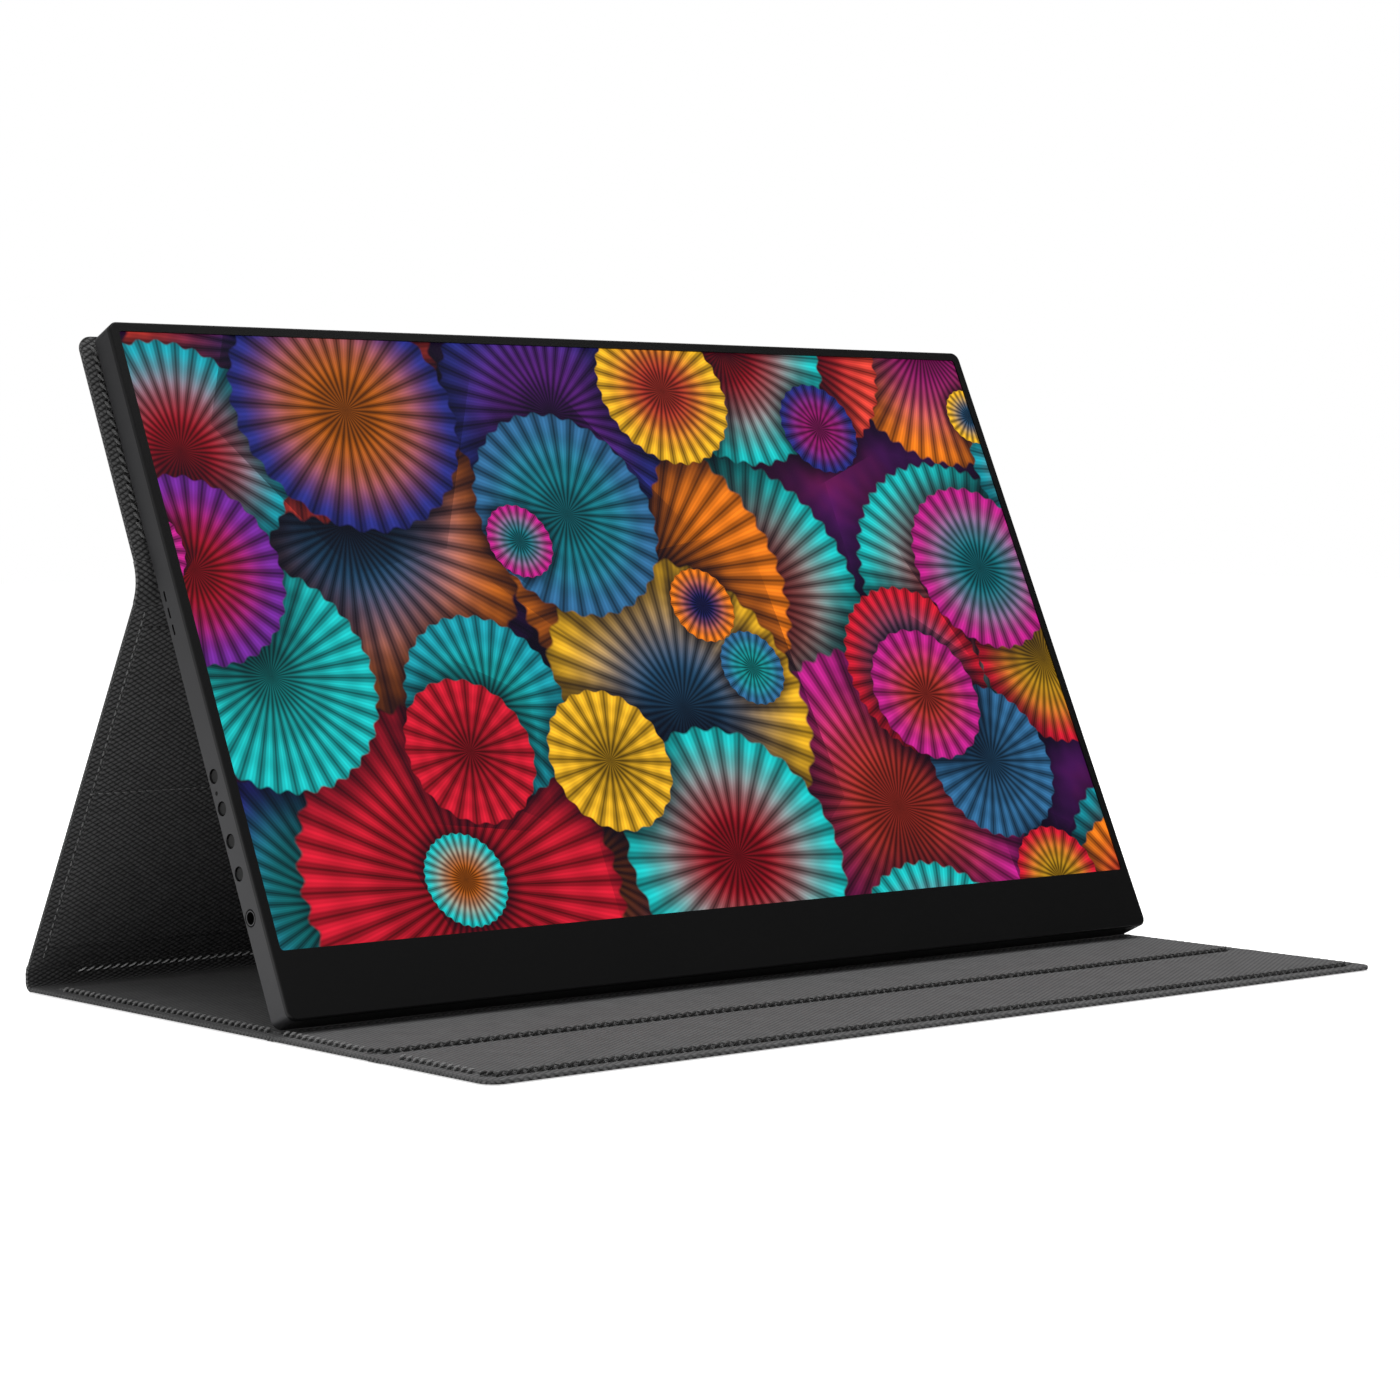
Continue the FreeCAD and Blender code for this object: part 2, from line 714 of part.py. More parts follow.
def make_cover_magnets():
    body = new_body("cover_magnets", *UPPER_FRAME)
    level = "upper_total - lining - magnet_thickness"
    for across in MAGNET_SPREADS:
        block = rectangle(body, "XY_Plane", "magnet_width", "magnet_height", across, UPPER_MAGNET_LINE, level)
        pad(body, block, "magnet_thickness")


def panel_sheet(body, start, end, level, thickness, margin="0"):
    """A sheet of a cover panel between two distances from its fold line."""
    width = f"cover_width - 2 * ({margin})"
    middle = f"(({start}) + ({end})) / 2"
    sheet = rectangle(body, "XY_Plane", width, f"({end}) - ({start})", up=middle, out=level)
    pad(body, sheet, thickness)


def round_free_end(body, radius, place):
    """Round the corners of a panel's free end, which lies at this place along its Y."""
    def at_free_end(edge):
        return straight_along(edge, 2) and lies_at(edge, 1, place)
    round_edges(body, radius, at_free_end)


def make_cover_panel(
    label, frame, start, end, start_border, end_border, board="board", corner=None, free=None,
):
    """Outer skin, stiffening board and inner lining of one panel of the cover."""
    skin = new_body(f"{label}_skin", *frame)
    panel_sheet(skin, start, end, "0", "skin")
    lining = new_body(f"{label}_lining", *frame)
    panel_sheet(lining, start, end, "skin", "lining")
    if corner:
        place = sizes.get(free) if free else 0
        round_free_end(skin, corner, place)
        round_free_end(lining, corner, place)
    board_start = f"{start} + {start_border}"
    board_end = f"{end} - {end_border}"
    raised_start = f"{board_start} - lining"
    raised_end = f"{board_end} + lining"
    panel_sheet(lining, raised_start, raised_end, "skin", f"{board} + lining", "side_border - lining")
    room = rectangle(
        lining, "XY_Plane", "cover_width - 2 * side_border", f"({board_end}) - ({board_start})",
        up=f"(({board_start}) + ({board_end})) / 2", out="skin",
    )
    pocket(lining, room, board, backwards=True)
    stiffener = new_body(f"{label}_board", *frame)
    panel_sheet(stiffener, board_start, board_end, "skin", board, "side_border")
    return stiffener


def make_panels():
    make_cover_panel(
        "base", ("groove_y", "0", "0"), "groove_fold_half", "base_reach - rear_bend",
        "groove_border", "rear_border",
    )
    make_cover_panel(
        "mid_flap", ("flap_y", "0", "0"), "front_fold_half", "mid_flap_length - groove_fold_half",
        "flap_border", "groove_border",
    )
    make_cover_panel(
        "front_flap", ("front_y", "0", "0"), "0", "front_flap_length - front_fold_half",
        "front_border", "flap_border", corner="front_corner",
    )
    make_cover_panel(
        "prop", ("rear_y", "spine_height", "prop_angle"), "spine_setback", "prop_length - top_setback",
        "prop_border", "prop_border",
    )
    upper = make_cover_panel(
        "upper", UPPER_FRAME, "top_setback", "upper_length", "prop_border", "upper_border",
        board="upper_board", corner="upper_corner", free="upper_length",
    )
    for across in MAGNET_SPREADS:
        bed = rectangle(
            upper, "XY_Plane", "magnet_width", "magnet_height", across, UPPER_MAGNET_LINE,
            "upper_total - lining",
        )
        pocket(upper, bed, "magnet_thickness")
    spine = new_body("spine_strip", "rear_y", "0", "90")
    panel_sheet(spine, "rear_bend", "spine_height - spine_setback", "0", "fold_sheet")


def make_bend(label, y, z, start_angle, inner, angle):
    """A curved strip of cloth around a bend, from its inner radius outwards."""
    body = new_body(label, y, z, start_angle)
    profile = rectangle(body, "XY_Plane", "cover_width", "fold_sheet", up=f"{inner} + fold_sheet / 2")
    turn = body.newObject("PartDesign::Revolution", f"{label}_turn")
    turn.Profile = profile
    turn.ReferenceAxis = (origin_feature(body, "X_Axis"), [""])
    bind(turn, "Angle", angle)
    doc.recompute()


def make_flat_fold(label, y, half):
    """The soft strip between two panels that lie flat, just clear of the table."""
    body = new_body(label, y)
    strip = rectangle(body, "XY_Plane", "cover_width", f"2 * {half}", out="flat_fold_lift")
    pad(body, strip, "fold_sheet - flat_fold_lift")


def make_folds():
    make_flat_fold("groove_fold", "groove_y", "groove_fold_half")
    make_flat_fold("front_fold", "flap_y", "front_fold_half")
    make_bend("rear_fold", "rear_y - rear_bend", "rear_bend", "-90", "rear_bend - fold_sheet", "90")
    make_bend(
        "spine_fold", "rear_y - spine_bend", "spine_height - spine_setback", "0",
        "spine_bend - fold_sheet", "prop_lean",
    )
    make_bend("top_fold", "top_bend_y", "top_bend_z", "upper_angle + 90", "top_bend", "top_bend_angle")


def export():
    """Check every object, then write each sub-part to a file of its own."""
    doc.recompute()
    for item in doc.Objects:
        if "Invalid" in item.State or "Error" in item.State:
            raise RuntimeError(f"{item.Label}: {item.State}")
    os.makedirs("parts", exist_ok=True)
    for body in sub_parts:
        if body.Shape.isNull() or not body.Shape.isValid():
            raise RuntimeError(f"{body.Label}: no valid shape")
        body.Shape.exportStep(f"parts/{body.Label}.step")


make_rear_housing()
make_front_bezel()
make_screen_stack()
make_main_board()
make_socket("data_sockets", "data_socket_width", DATA_SOCKET_HEIGHTS)
make_socket("video_socket", "video_socket_width", ["video_socket_centre"])
make_side_board()
make_side_switches()
for key_name, key_height in zip(("down_key", "up_key", "menu_key", "power_key"), KEY_HEIGHTS):
    make_key(key_name, key_height)
make_lamp()
make_headphone_jack()
make_speaker("left_speaker", -1)
make_speaker("right_speaker", 1)
make_timing_board()
make_panel_ribbon()
make_side_ribbon()
make_board_screws()
make_housing_magnets()
make_panels()
make_cover_magnets()
make_folds()
export()
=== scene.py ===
"""Portable monitor on its folding cloth cover: finishes, sewn cloth, stitching and a plain studio."""
import json
import math
from collections import defaultdict, namedtuple
import bpy
from mathutils import Matrix, Vector


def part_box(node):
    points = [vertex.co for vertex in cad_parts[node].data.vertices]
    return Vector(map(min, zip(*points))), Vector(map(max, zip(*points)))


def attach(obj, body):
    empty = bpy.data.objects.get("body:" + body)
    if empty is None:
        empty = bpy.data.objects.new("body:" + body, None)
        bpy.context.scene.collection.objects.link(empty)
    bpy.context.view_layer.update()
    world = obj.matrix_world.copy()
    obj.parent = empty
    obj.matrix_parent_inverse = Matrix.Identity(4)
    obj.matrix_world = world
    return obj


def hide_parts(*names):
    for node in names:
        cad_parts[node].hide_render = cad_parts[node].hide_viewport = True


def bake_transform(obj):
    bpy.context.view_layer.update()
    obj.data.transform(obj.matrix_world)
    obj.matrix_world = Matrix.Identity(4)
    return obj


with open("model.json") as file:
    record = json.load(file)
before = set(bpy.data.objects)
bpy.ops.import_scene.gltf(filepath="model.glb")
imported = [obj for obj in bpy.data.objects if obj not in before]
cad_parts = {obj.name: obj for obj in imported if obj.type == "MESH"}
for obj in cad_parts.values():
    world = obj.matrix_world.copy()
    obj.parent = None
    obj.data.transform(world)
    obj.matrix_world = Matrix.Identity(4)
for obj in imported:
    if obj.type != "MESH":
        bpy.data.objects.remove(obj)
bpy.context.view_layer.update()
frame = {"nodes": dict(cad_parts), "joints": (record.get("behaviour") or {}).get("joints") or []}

MM = 0.001
TINY = 1e-6

# Where the cover's fold lines and edges run, taken from the model
hinge = {joint["name"]: Vector(joint["pos_m"]) for joint in frame["joints"] if "pos_m" in joint}
REAR = hinge["spine_hinge"].y
GROOVE = hinge["groove_hinge"].y
FLAP = hinge["front_hinge"].y
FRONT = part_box("front_flap_skin")[0].y
SPINE_TOP = hinge["stand_hinge"].z
TOP_FOLD = hinge["display_hinge"]
COVER_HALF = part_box("base_skin")[1].x

# The cover's cloth, boards and bends
SKIN = 0.7 * MM
LINING = 0.6 * MM
SHEET = SKIN + LINING
BOARD = 0.5 * MM
UPPER_BOARD = 2.6 * MM
GROOVE_FOLD = 1.5 * MM
FRONT_FOLD = 3.0 * MM
REAR_BEND = 3.0 * MM
SPINE_BEND = 6.0 * MM
TOP_BEND = 13.0 * MM
SIDE_BORDER = 5.5 * MM
FRONT_CORNER = 5.5 * MM
UPPER_CORNER = 4.5 * MM
HEM_ROUND = 0.4 * MM
SHOULDER = 0.4 * MM

# How finely corners, rims, folds and bends are cut, and how sharp an edge may be and still look soft
CORNER_STEPS = 8
RIM_STEPS = 3
FOLD_CUTS = 7
BEND_STEPS = 12
SOFT_ANGLE = math.radians(40)

# How much of a face's normal lies along an axis for the face to look that way, to lie level and to stand
FACING = 0.7
LEVEL_FACE = 0.9
UPRIGHT_FACE = 0.1

# The stand's angles and lengths
TILT = math.radians(25.3)
prop_run = REAR - TOP_FOLD.y
prop_rise = TOP_FOLD.z - SPINE_TOP
LEAN = math.atan2(prop_run, prop_rise)
PROP_LENGTH = math.hypot(prop_run, prop_rise)
TOP_SETBACK = TOP_BEND * math.tan((TILT + LEAN) / 2)
SPINE_SETBACK = SPINE_BEND * math.tan(LEAN / 2)

# Where each panel ends along its length, and where it goes once drawn: y, z and the turn about X
BASE_END = REAR - GROOVE - REAR_BEND
MID_END = GROOVE - FLAP - GROOVE_FOLD
FRONT_END = FLAP - FRONT - FRONT_FOLD
PROP_END = PROP_LENGTH - TOP_SETBACK
UPPER_END = 79.4 * MM
PROP_PLACE = (REAR, SPINE_TOP, math.pi / 2 + LEAN)
UPPER_PLACE = (TOP_FOLD.y, TOP_FOLD.z, math.pi / 2 - TILT)

# The panels. Borders are what the board leaves bare at both ends, and rise is how far it lifts the lining.
# A free end has round corners, and the other ends run on into a fold.
Panel = namedtuple("Panel", "body place start end borders rise free corner", defaults=(BOARD, None, 0.0))
PANELS = {
    "base": Panel("base", (GROOVE, 0, 0), GROOVE_FOLD, BASE_END, (0.8 * MM, 9.0 * MM)),
    "mid_flap": Panel("mid_flap", (FLAP, 0, 0), FRONT_FOLD, MID_END, (2.2 * MM, 0.8 * MM)),
    "front_flap": Panel(
        "front_flap", (FRONT, 0, 0), 0.0, FRONT_END, (6.5 * MM, 2.2 * MM), free=0.0, corner=FRONT_CORNER,
    ),
    "prop": Panel("prop", PROP_PLACE, SPINE_SETBACK, PROP_END, (8.0 * MM, 8.0 * MM)),
    "upper": Panel(
        "display", UPPER_PLACE, TOP_SETBACK, UPPER_END, (8.0 * MM, 6.8 * MM),
        rise=UPPER_BOARD, free=UPPER_END, corner=UPPER_CORNER,
    ),
}
LINED_PANELS = ("base", "mid_flap", "front_flap")

# Weaving: the distance between lines and their angle to the cloth's width
WEAVE = 1.52 * MM
WEAVE_ANGLE = math.radians(31)

# Sewing: pitches and threads
SIDE_PITCH = 3.0 * MM
STEP_PITCH = 3.4 * MM
CORNER_PITCH = 2.1 * MM
DASH_PITCH = 2.8 * MM
SIDE_THREAD = 0.9 * MM
STEP_THREAD = 1.0 * MM
FLAT_THREAD = 0.65 * MM
FOOT_THREAD = 0.55 * MM
DASH_THREAD = 0.5 * MM

# Sewing: how a stitch sits, in shares of its thread, and from which share of its length the ends droop
OVER_LIFT = 0.35
DROOP = 0.25
DROOP_FROM = 0.7
SEAT = 0.2
TIPPED_SEAT = 0.65
SEAM_TIP = math.radians(50)

# Sewing: where the rows run on each panel
SEAM_INSET = 4.0 * MM
CORNER_CUT = 3.0 * MM
BASE_ROWS = (3.0 * MM, 115.0 * MM)
MID_STEP = FRONT_FOLD + 1.1 * MM
MID_ROWS = (MID_STEP + CORNER_CUT, MID_END - 1.0 * MM)
FRONT_HEM = 5.0 * MM
FRONT_ROWS = (FRONT_HEM + CORNER_CUT, FRONT_END - 4.5 * MM)
PROP_ROWS = (SPINE_SETBACK + 4.6 * MM, PROP_END)
PROP_BACK_ROWS = (SPINE_SETBACK + 2.0 * MM, PROP_END - 2.0 * MM)
PROP_CREASE = 65.0 * MM
PROP_FOOT = SPINE_SETBACK - 1.8 * MM
FOOT_LEVEL = SHEET + 0.35 * MM
FOOT_INSET = 19.0 * MM
UPPER_ROWS = (TOP_SETBACK + 4.0 * MM, UPPER_END - 5.0 * MM)
UPPER_HEM = UPPER_END - SEAM_INSET
UPPER_BACK_ROWS = (TOP_SETBACK + 2.0 * MM, UPPER_HEM)
BACK_LEVEL = -0.4 * DASH_THREAD

# Painted shade: how far inside the outer box of the housing and of the jack a wall is painted black, along
# x, y and z, and how wide the jack's rim of painted shadow is. A margin below 0 takes in everything along
# its axis.
SHELL_SHADE_MARGINS = (0.15 * MM, 1.6 * MM, 6.0 * MM)
JACK_SHADE_MARGINS = (0.15 * MM, -1.0 * MM, -1.0 * MM)
JACK_SHADOW_RIM = 0.35 * MM

# How far a grained finish's roughness ranges
GLOSS_SPREAD = 0.12

# Ways to sew: the upper thread's half length as a share of the pitch, and its slant to the seam
BEADS = (0.42, math.radians(50))
CROSSES = (0.55, math.radians(27))
DASHES = (0.37, 0.0)
Seam = namedtuple("Seam", "start end pitch thread tip way")


def only(obj):
    """Make obj the one selected and active object."""
    bpy.ops.object.select_all(action="DESELECT")
    obj.select_set(True)
    bpy.context.view_layer.objects.active = obj


def pick(obj, kind, test):
    """Go into edit mode with just the vertices, edges or faces selected that pass the test."""
    only(obj)
    bpy.ops.object.mode_set(mode="EDIT")
    bpy.ops.mesh.select_mode(type=kind)
    bpy.ops.mesh.select_all(action="DESELECT")
    bpy.ops.object.mode_set(mode="OBJECT")
    mesh = obj.data
    if kind == "VERT":
        for item in mesh.vertices:
            item.select = test(item, item.co)
    if kind == "EDGE":
        for item in mesh.edges:
            ends = [mesh.vertices[n].co for n in item.vertices]
            item.select = test(item, (ends[0] + ends[1]) / 2)
    if kind == "FACE":
        for item in mesh.polygons:
            item.select = test(item, item.center)
    bpy.ops.object.mode_set(mode="EDIT")


def leave():
    bpy.ops.object.mode_set(mode="OBJECT")


def every(item, place):
    return True


def apply_modifier(obj, kind, **settings):
    only(obj)
    modifier = obj.modifiers.new(kind.lower(), kind)
    for key, value in settings.items():
        setattr(modifier, key, value)
    bpy.ops.object.modifier_apply(modifier=modifier.name)


def outward(obj):
    """Merge doubles and turn every face outwards."""
    pick(obj, "VERT", every)
    bpy.ops.mesh.remove_doubles(threshold=TINY)
    bpy.ops.mesh.normals_make_consistent(inside=False)
    leave()


def plane(name, width, length, location, turn=0.0):
    bpy.ops.object.select_all(action="DESELECT")
    bpy.ops.mesh.primitive_plane_add(size=1, location=location, rotation=(turn, 0, 0))
    obj = bpy.context.object
    obj.name = name
    obj.data.name = name
    obj.scale = (width, length, 1)
    bpy.ops.object.transform_apply(location=True, rotation=True, scale=True)
    return obj


def set_in(obj, place):
    """Move a panel drawn flat to its place on the stand."""
    y, z, turn = place
    obj.matrix_world = Matrix.Translation((0, y, z)) @ Matrix.Rotation(turn, 4, "X")
    only(obj)
    bpy.ops.object.transform_apply(location=True, rotation=True, scale=True)


def lay_weave(obj, flatten):
    """Write the cloth's own flat coordinates, in metres, to its UV map."""
    layer = obj.data.uv_layers.new(name="weave")
    for face in obj.data.polygons:
        for loop in face.loop_indices:
            point = obj.data.vertices[obj.data.loops[loop].vertex_index].co
            layer.data[loop].uv = flatten(point, face.normal)


def flat_weave(point, normal):
    """Flat coordinates of a panel that lies in XY, carried on over its upright edges."""
    u, v = point.x, point.y
    if abs(normal.x) > FACING:
        u += math.copysign(point.z, normal.x)
    if abs(normal.y) > FACING:
        v += math.copysign(point.z, normal.y)
    return u, v


def flat_cloth(name, panel, top):
    """A panel's cloth laid flat, its free end's corners rounded, its thickness still to come."""
    length = panel.end - panel.start
    obj = plane(name, 2 * COVER_HALF, length, (0, (panel.start + panel.end) / 2, top))
    if panel.free is not None:
        pick(obj, "VERT", lambda item, place: abs(place.y - panel.free) < TINY)
        bpy.ops.mesh.bevel(affect="VERTICES", offset=panel.corner, segments=CORNER_STEPS)
        leave()
    return obj


def soften(obj):
    """Smooth shading over the cloth's bends, with its cut edges kept."""
    only(obj)
    bpy.ops.object.shade_smooth_by_angle(angle=SOFT_ANGLE)


def thicken(obj, thickness):
    apply_modifier(obj, "SOLIDIFY", thickness=thickness, offset=-1, use_even_offset=True)


def round_rim(obj, panel, level):
    """Round the cloth's free edges at one level, leaving the ends that run on into a fold."""
    folds = [end for end in (panel.start, panel.end) if end != panel.free]
    slopes = {}
    for face in obj.data.polygons:
        for key in face.edge_keys:
            slopes.setdefault(key, []).append(abs(face.normal.z))

    def free_edge(edge, place):
        lean = slopes[edge.key]
        if abs(place.z - level) > TINY or any(abs(place.y - fold) < TINY for fold in folds):
            return False
        return max(lean) > LEVEL_FACE and min(lean) < UPRIGHT_FACE
    pick(obj, "EDGE", free_edge)
    bpy.ops.mesh.bevel(affect="EDGES", offset=HEM_ROUND, segments=RIM_STEPS)
    leave()


def lay_cloth(obj, panel, level):
    """Round a panel's cloth at its outer face, give it its weave and set it in its place."""
    round_rim(obj, panel, level)
    lay_weave(obj, flat_weave)
    set_in(obj, panel.place)
    soften(obj)
    return obj


def outer_cloth(name, panel):
    """The cover's outer skin on one panel."""
    obj = flat_cloth(name, panel, SKIN)
    thicken(obj, SKIN)
    return lay_cloth(obj, panel, 0)


def inner_cloth(name, panel):
    """The lining on one panel, drawn over its board with soft shoulders and sewn flat round it."""
    obj = flat_cloth(name, panel, SHEET)
    side = COVER_HALF - SIDE_BORDER + LINING
    low = panel.start + panel.borders[0] - LINING
    high = panel.end - panel.borders[1] + LINING
    across = (1, 0, 0)
    along = (0, 1, 0)
    for normal, place in ((across, -side), (across, side), (along, low), (along, high)):
        pick(obj, "VERT", every)
        bpy.ops.mesh.bisect(plane_co=Vector(normal) * place, plane_no=normal)
        leave()
    pick(obj, "FACE", lambda item, place: abs(place.x) < side and low < place.y < high)
    bpy.ops.mesh.extrude_region_move(TRANSFORM_OT_translate={"value": (0, 0, panel.rise)})
    leave()

    def shoulder(edge, place):
        on_side = abs(abs(place.x) - side) < TINY
        on_end = min(abs(place.y - low), abs(place.y - high)) < TINY
        return abs(place.z - SHEET - panel.rise) < TINY and (on_side or on_end)
    pick(obj, "EDGE", shoulder)
    bpy.ops.mesh.bevel(affect="EDGES", offset=SHOULDER, segments=RIM_STEPS)
    leave()
    thicken(obj, LINING)
    return lay_cloth(obj, panel, SHEET)


def flat_fold(name, y, half):
    """The soft strip between two panels that lie flat."""
    obj = plane(name, 2 * COVER_HALF, 2 * half, (0, y, SHEET))
    pick(obj, "VERT", every)
    bpy.ops.mesh.subdivide(number_cuts=FOLD_CUTS)
    leave()
    thicken(obj, SHEET)
    lay_weave(obj, flat_weave)
    soften(obj)
    return obj


def bent_fold(name, centre, inner, first, turn, lead=0.0, tail=0.0):
    """A strip of the cover's cloth round a bend, with straight runs before and after it."""
    radial = Vector((0, math.cos(first), math.sin(first)))
    ahead = Vector((0, -math.sin(first), math.cos(first)))
    middle = Vector((0, *centre)) + radial * (inner + SHEET / 2)
    obj = plane(name, 2 * COVER_HALF, SHEET, middle - ahead * lead, first)
    pick(obj, "FACE", every)
    if lead:
        bpy.ops.mesh.extrude_region_move(TRANSFORM_OT_translate={"value": ahead * lead})
    bpy.ops.mesh.spin(steps=BEND_STEPS, angle=-turn, center=(0, *centre), axis=(1, 0, 0))
    if tail:
        last = Matrix.Rotation(turn, 3, "X") @ ahead
        bpy.ops.mesh.extrude_region_move(TRANSFORM_OT_translate={"value": last * tail})
    leave()
    outward(obj)

    def along_bend(point, normal):
        arm = point - Vector((0, *centre))
        angle = (math.atan2(arm.z, arm.y) - first + math.pi) % math.tau - math.pi
        return point.x, angle * (inner + SHEET)
    lay_weave(obj, along_bend)
    soften(obj)
    return obj


def one_stitch(name, seam, over, under):
    """One stitch: a thread over another, both drooping at their ends and tipped over the seam's edge."""
    threads = []
    share, slant = seam.way
    for turn, lift, length, material in ((slant, OVER_LIFT, share, over), (-slant, 0.0, CROSSES[0], under)):
        reach = seam.pitch * length
        lying = (0, math.pi / 2, 0)
        bpy.ops.object.select_all(action="DESELECT")
        bpy.ops.mesh.primitive_uv_sphere_add(segments=6, ring_count=5, radius=1, rotation=lying)
        thread = bpy.context.object
        bpy.ops.object.transform_apply(location=False, rotation=True, scale=False)
        thread.scale = (reach, seam.thread / 2, seam.thread / 2)
        bpy.ops.object.transform_apply(location=False, rotation=False, scale=True)
        pick(thread, "VERT", lambda item, place: abs(place.x) > reach * DROOP_FROM)
        bpy.ops.transform.translate(value=(0, 0, -seam.thread * DROOP))
        leave()
        tipped = Matrix.Rotation(seam.tip, 4, "X") @ Matrix.Translation((0, 0, lift * seam.thread))
        thread.matrix_world = tipped @ Matrix.Rotation(turn, 4, "Z")
        only(thread)
        bpy.ops.object.transform_apply(location=True, rotation=True, scale=True)
        thread.data.materials.append(material)
        threads.append(thread)
    only(threads[0])
    threads[1].select_set(True)
    bpy.ops.object.join()
    threads[0].name = name
    return threads[0]


def sew(name, panel, seams, level, over, under):
    """Seams on one panel, drawn with the panel flat. A tipped seam leans to the right of its run."""
    sewn = []
    for seam in seams:
        run = Vector(seam.end) - Vector(seam.start)
        row = one_stitch(name, seam, over, under)
        apply_modifier(
            row, "ARRAY", count=int(run.length / seam.pitch), use_relative_offset=False,
            use_constant_offset=True, constant_offset_displace=(seam.pitch, 0, 0),
        )
        rise = level + seam.thread * (SEAT + TIPPED_SEAT * math.sin(seam.tip))
        turn = Matrix.Rotation(math.atan2(run.y, run.x), 4, "Z")
        row.matrix_world = Matrix.Translation((*seam.start, rise)) @ turn
        only(row)
        bpy.ops.object.transform_apply(location=True, rotation=True, scale=True)
        sewn.append(row)
    only(sewn[0])
    for row in sewn[1:]:
        row.select_set(True)
    bpy.ops.object.join()
    obj = sewn[0]
    obj.name = name
    obj.data.name = name
    set_in(obj, panel.place)
    bpy.ops.object.shade_smooth()
    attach(obj, panel.body)
    return obj


def grey(level):
    return (level, level, level)


def join(tree, value, socket):
    if isinstance(value, bpy.types.NodeSocket):
        tree.links.new(value, socket)
    else:
        socket.default_value = value


def node(tree, kind, inputs=(), **settings):
    """A node with its settings made and its inputs linked or set."""
    made = tree.nodes.new(kind)
    for key, value in settings.items():
        setattr(made, key, value)
    for key, value in dict(inputs).items():
        join(tree, value, made.inputs[key])
    return made


def calc(tree, operation, *values):
    made = tree.nodes.new("ShaderNodeMath")
    made.operation = operation
    for socket, value in zip(made.inputs, values):
        join(tree, value, socket)
    return made.outputs[0]


def vector_calc(tree, operation, first, second, output="Vector"):
    made = tree.nodes.new("ShaderNodeVectorMath")
    made.operation = operation
    join(tree, first, made.inputs[0])
    join(tree, second, made.inputs[1])
    return made.outputs[output]


def mix(tree, share, first, second, mode="MIX"):
    made = tree.nodes.new("ShaderNodeMix")
    made.data_type = "RGBA"
    made.blend_type = mode
    join(tree, share, made.inputs["Factor"])
    join(tree, first, made.inputs[6])
    join(tree, second, made.inputs[7])
    return made.outputs[2]


def ramp(tree, value, stops, interpolation="LINEAR"):
    made = tree.nodes.new("ShaderNodeValToRGB")
    made.color_ramp.interpolation = interpolation
    elements = made.color_ramp.elements
    for position, colour in stops[1:-1]:
        elements.new(position).color = (*colour, 1)
    elements[0].position = stops[0][0]
    elements[0].color = (*stops[0][1], 1)
    elements[len(elements) - 1].position = stops[-1][0]
    elements[len(elements) - 1].color = (*stops[-1][1], 1)
    join(tree, value, made.inputs["Fac"])
    return made.outputs["Color"]


def smooth(tree, value, low, high):
    """0 below low, 1 above high, eased between."""
    made = node(tree, "ShaderNodeMapRange", {"Value": value, "From Min": low, "From Max": high})
    made.interpolation_type = "SMOOTHSTEP"
    return made.outputs["Result"]


def noise(tree, place, scale, detail):
    made = node(tree, "ShaderNodeTexNoise", {"Vector": place, "Scale": scale, "Detail": detail})
    return made.outputs["Fac"]


def effect(name, inputs, outputs):
    """An empty node group with these sockets, its input and output nodes."""
    tree = bpy.data.node_groups.new(name, "ShaderNodeTree")
    for label, kind, value in inputs:
        socket = tree.interface.new_socket(name=label, in_out="INPUT", socket_type=f"NodeSocket{kind}")
        if value is not None:
            socket.default_value = value
    for label, kind in outputs:
        tree.interface.new_socket(name=label, in_out="OUTPUT", socket_type=f"NodeSocket{kind}")
    return tree, tree.nodes.new("NodeGroupInput").outputs, tree.nodes.new("NodeGroupOutput").inputs


def use(tree, group, **inputs):
    made = tree.nodes.new("ShaderNodeGroup")
    made.node_tree = group
    for key, value in inputs.items():
        join(tree, value, made.inputs[key.replace("_", " ")])
    return made.outputs


def make_crossed_threads():
    """Cloth: two families of lines, with a plump thread between them in each cell."""
    tree, given, out = effect(
        "crossed_threads",
        [("Vector", "Vector", None), ("First Lines", "Vector", None), ("Second Lines", "Vector", None)],
        [("Threads", "Float"), ("Patches", "Float")],
    )
    wander = 0.45
    flattening = 0.5
    wobble = noise(tree, given["Vector"], 900.0, 2.0)
    waves = []
    for key in ("First Lines", "Second Lines"):
        phase = vector_calc(tree, "DOT_PRODUCT", given["Vector"], given[key], "Value")
        shaken = calc(tree, "MULTIPLY_ADD", wobble, wander, phase)
        waves.append(calc(tree, "ABSOLUTE", calc(tree, "SINE", calc(tree, "MULTIPLY", shaken, math.pi))))
    threads = calc(tree, "MULTIPLY", waves[0], calc(tree, "POWER", waves[1], flattening))
    join(tree, threads, out["Threads"])
    join(tree, noise(tree, given["Vector"], 120.0, 4.0), out["Patches"])
    return tree


def make_fine_grain():
    """Moulded or blasted surface: a fine grain and a slow drift of tone."""
    tree, given, out = effect(
        "fine_grain",
        [("Vector", "Vector", None), ("Grain Scale", "Float", 2500.0), ("Drift Scale", "Float", 14.0)],
        [("Grain", "Float"), ("Drift", "Float")],
    )
    join(tree, noise(tree, given["Vector"], given["Grain Scale"], 3.0), out["Grain"])
    join(tree, noise(tree, given["Vector"], given["Drift Scale"], 5.0), out["Drift"])
    return tree


PALETTE = [
    (0.010, 0.340, 0.420), (0.860, 0.200, 0.010), (0.020, 0.025, 0.200), (0.900, 0.480, 0.020),
    (0.620, 0.010, 0.030), (0.010, 0.520, 0.520), (0.520, 0.015, 0.250), (0.160, 0.020, 0.300),
    (0.800, 0.060, 0.040), (0.030, 0.140, 0.300),
]


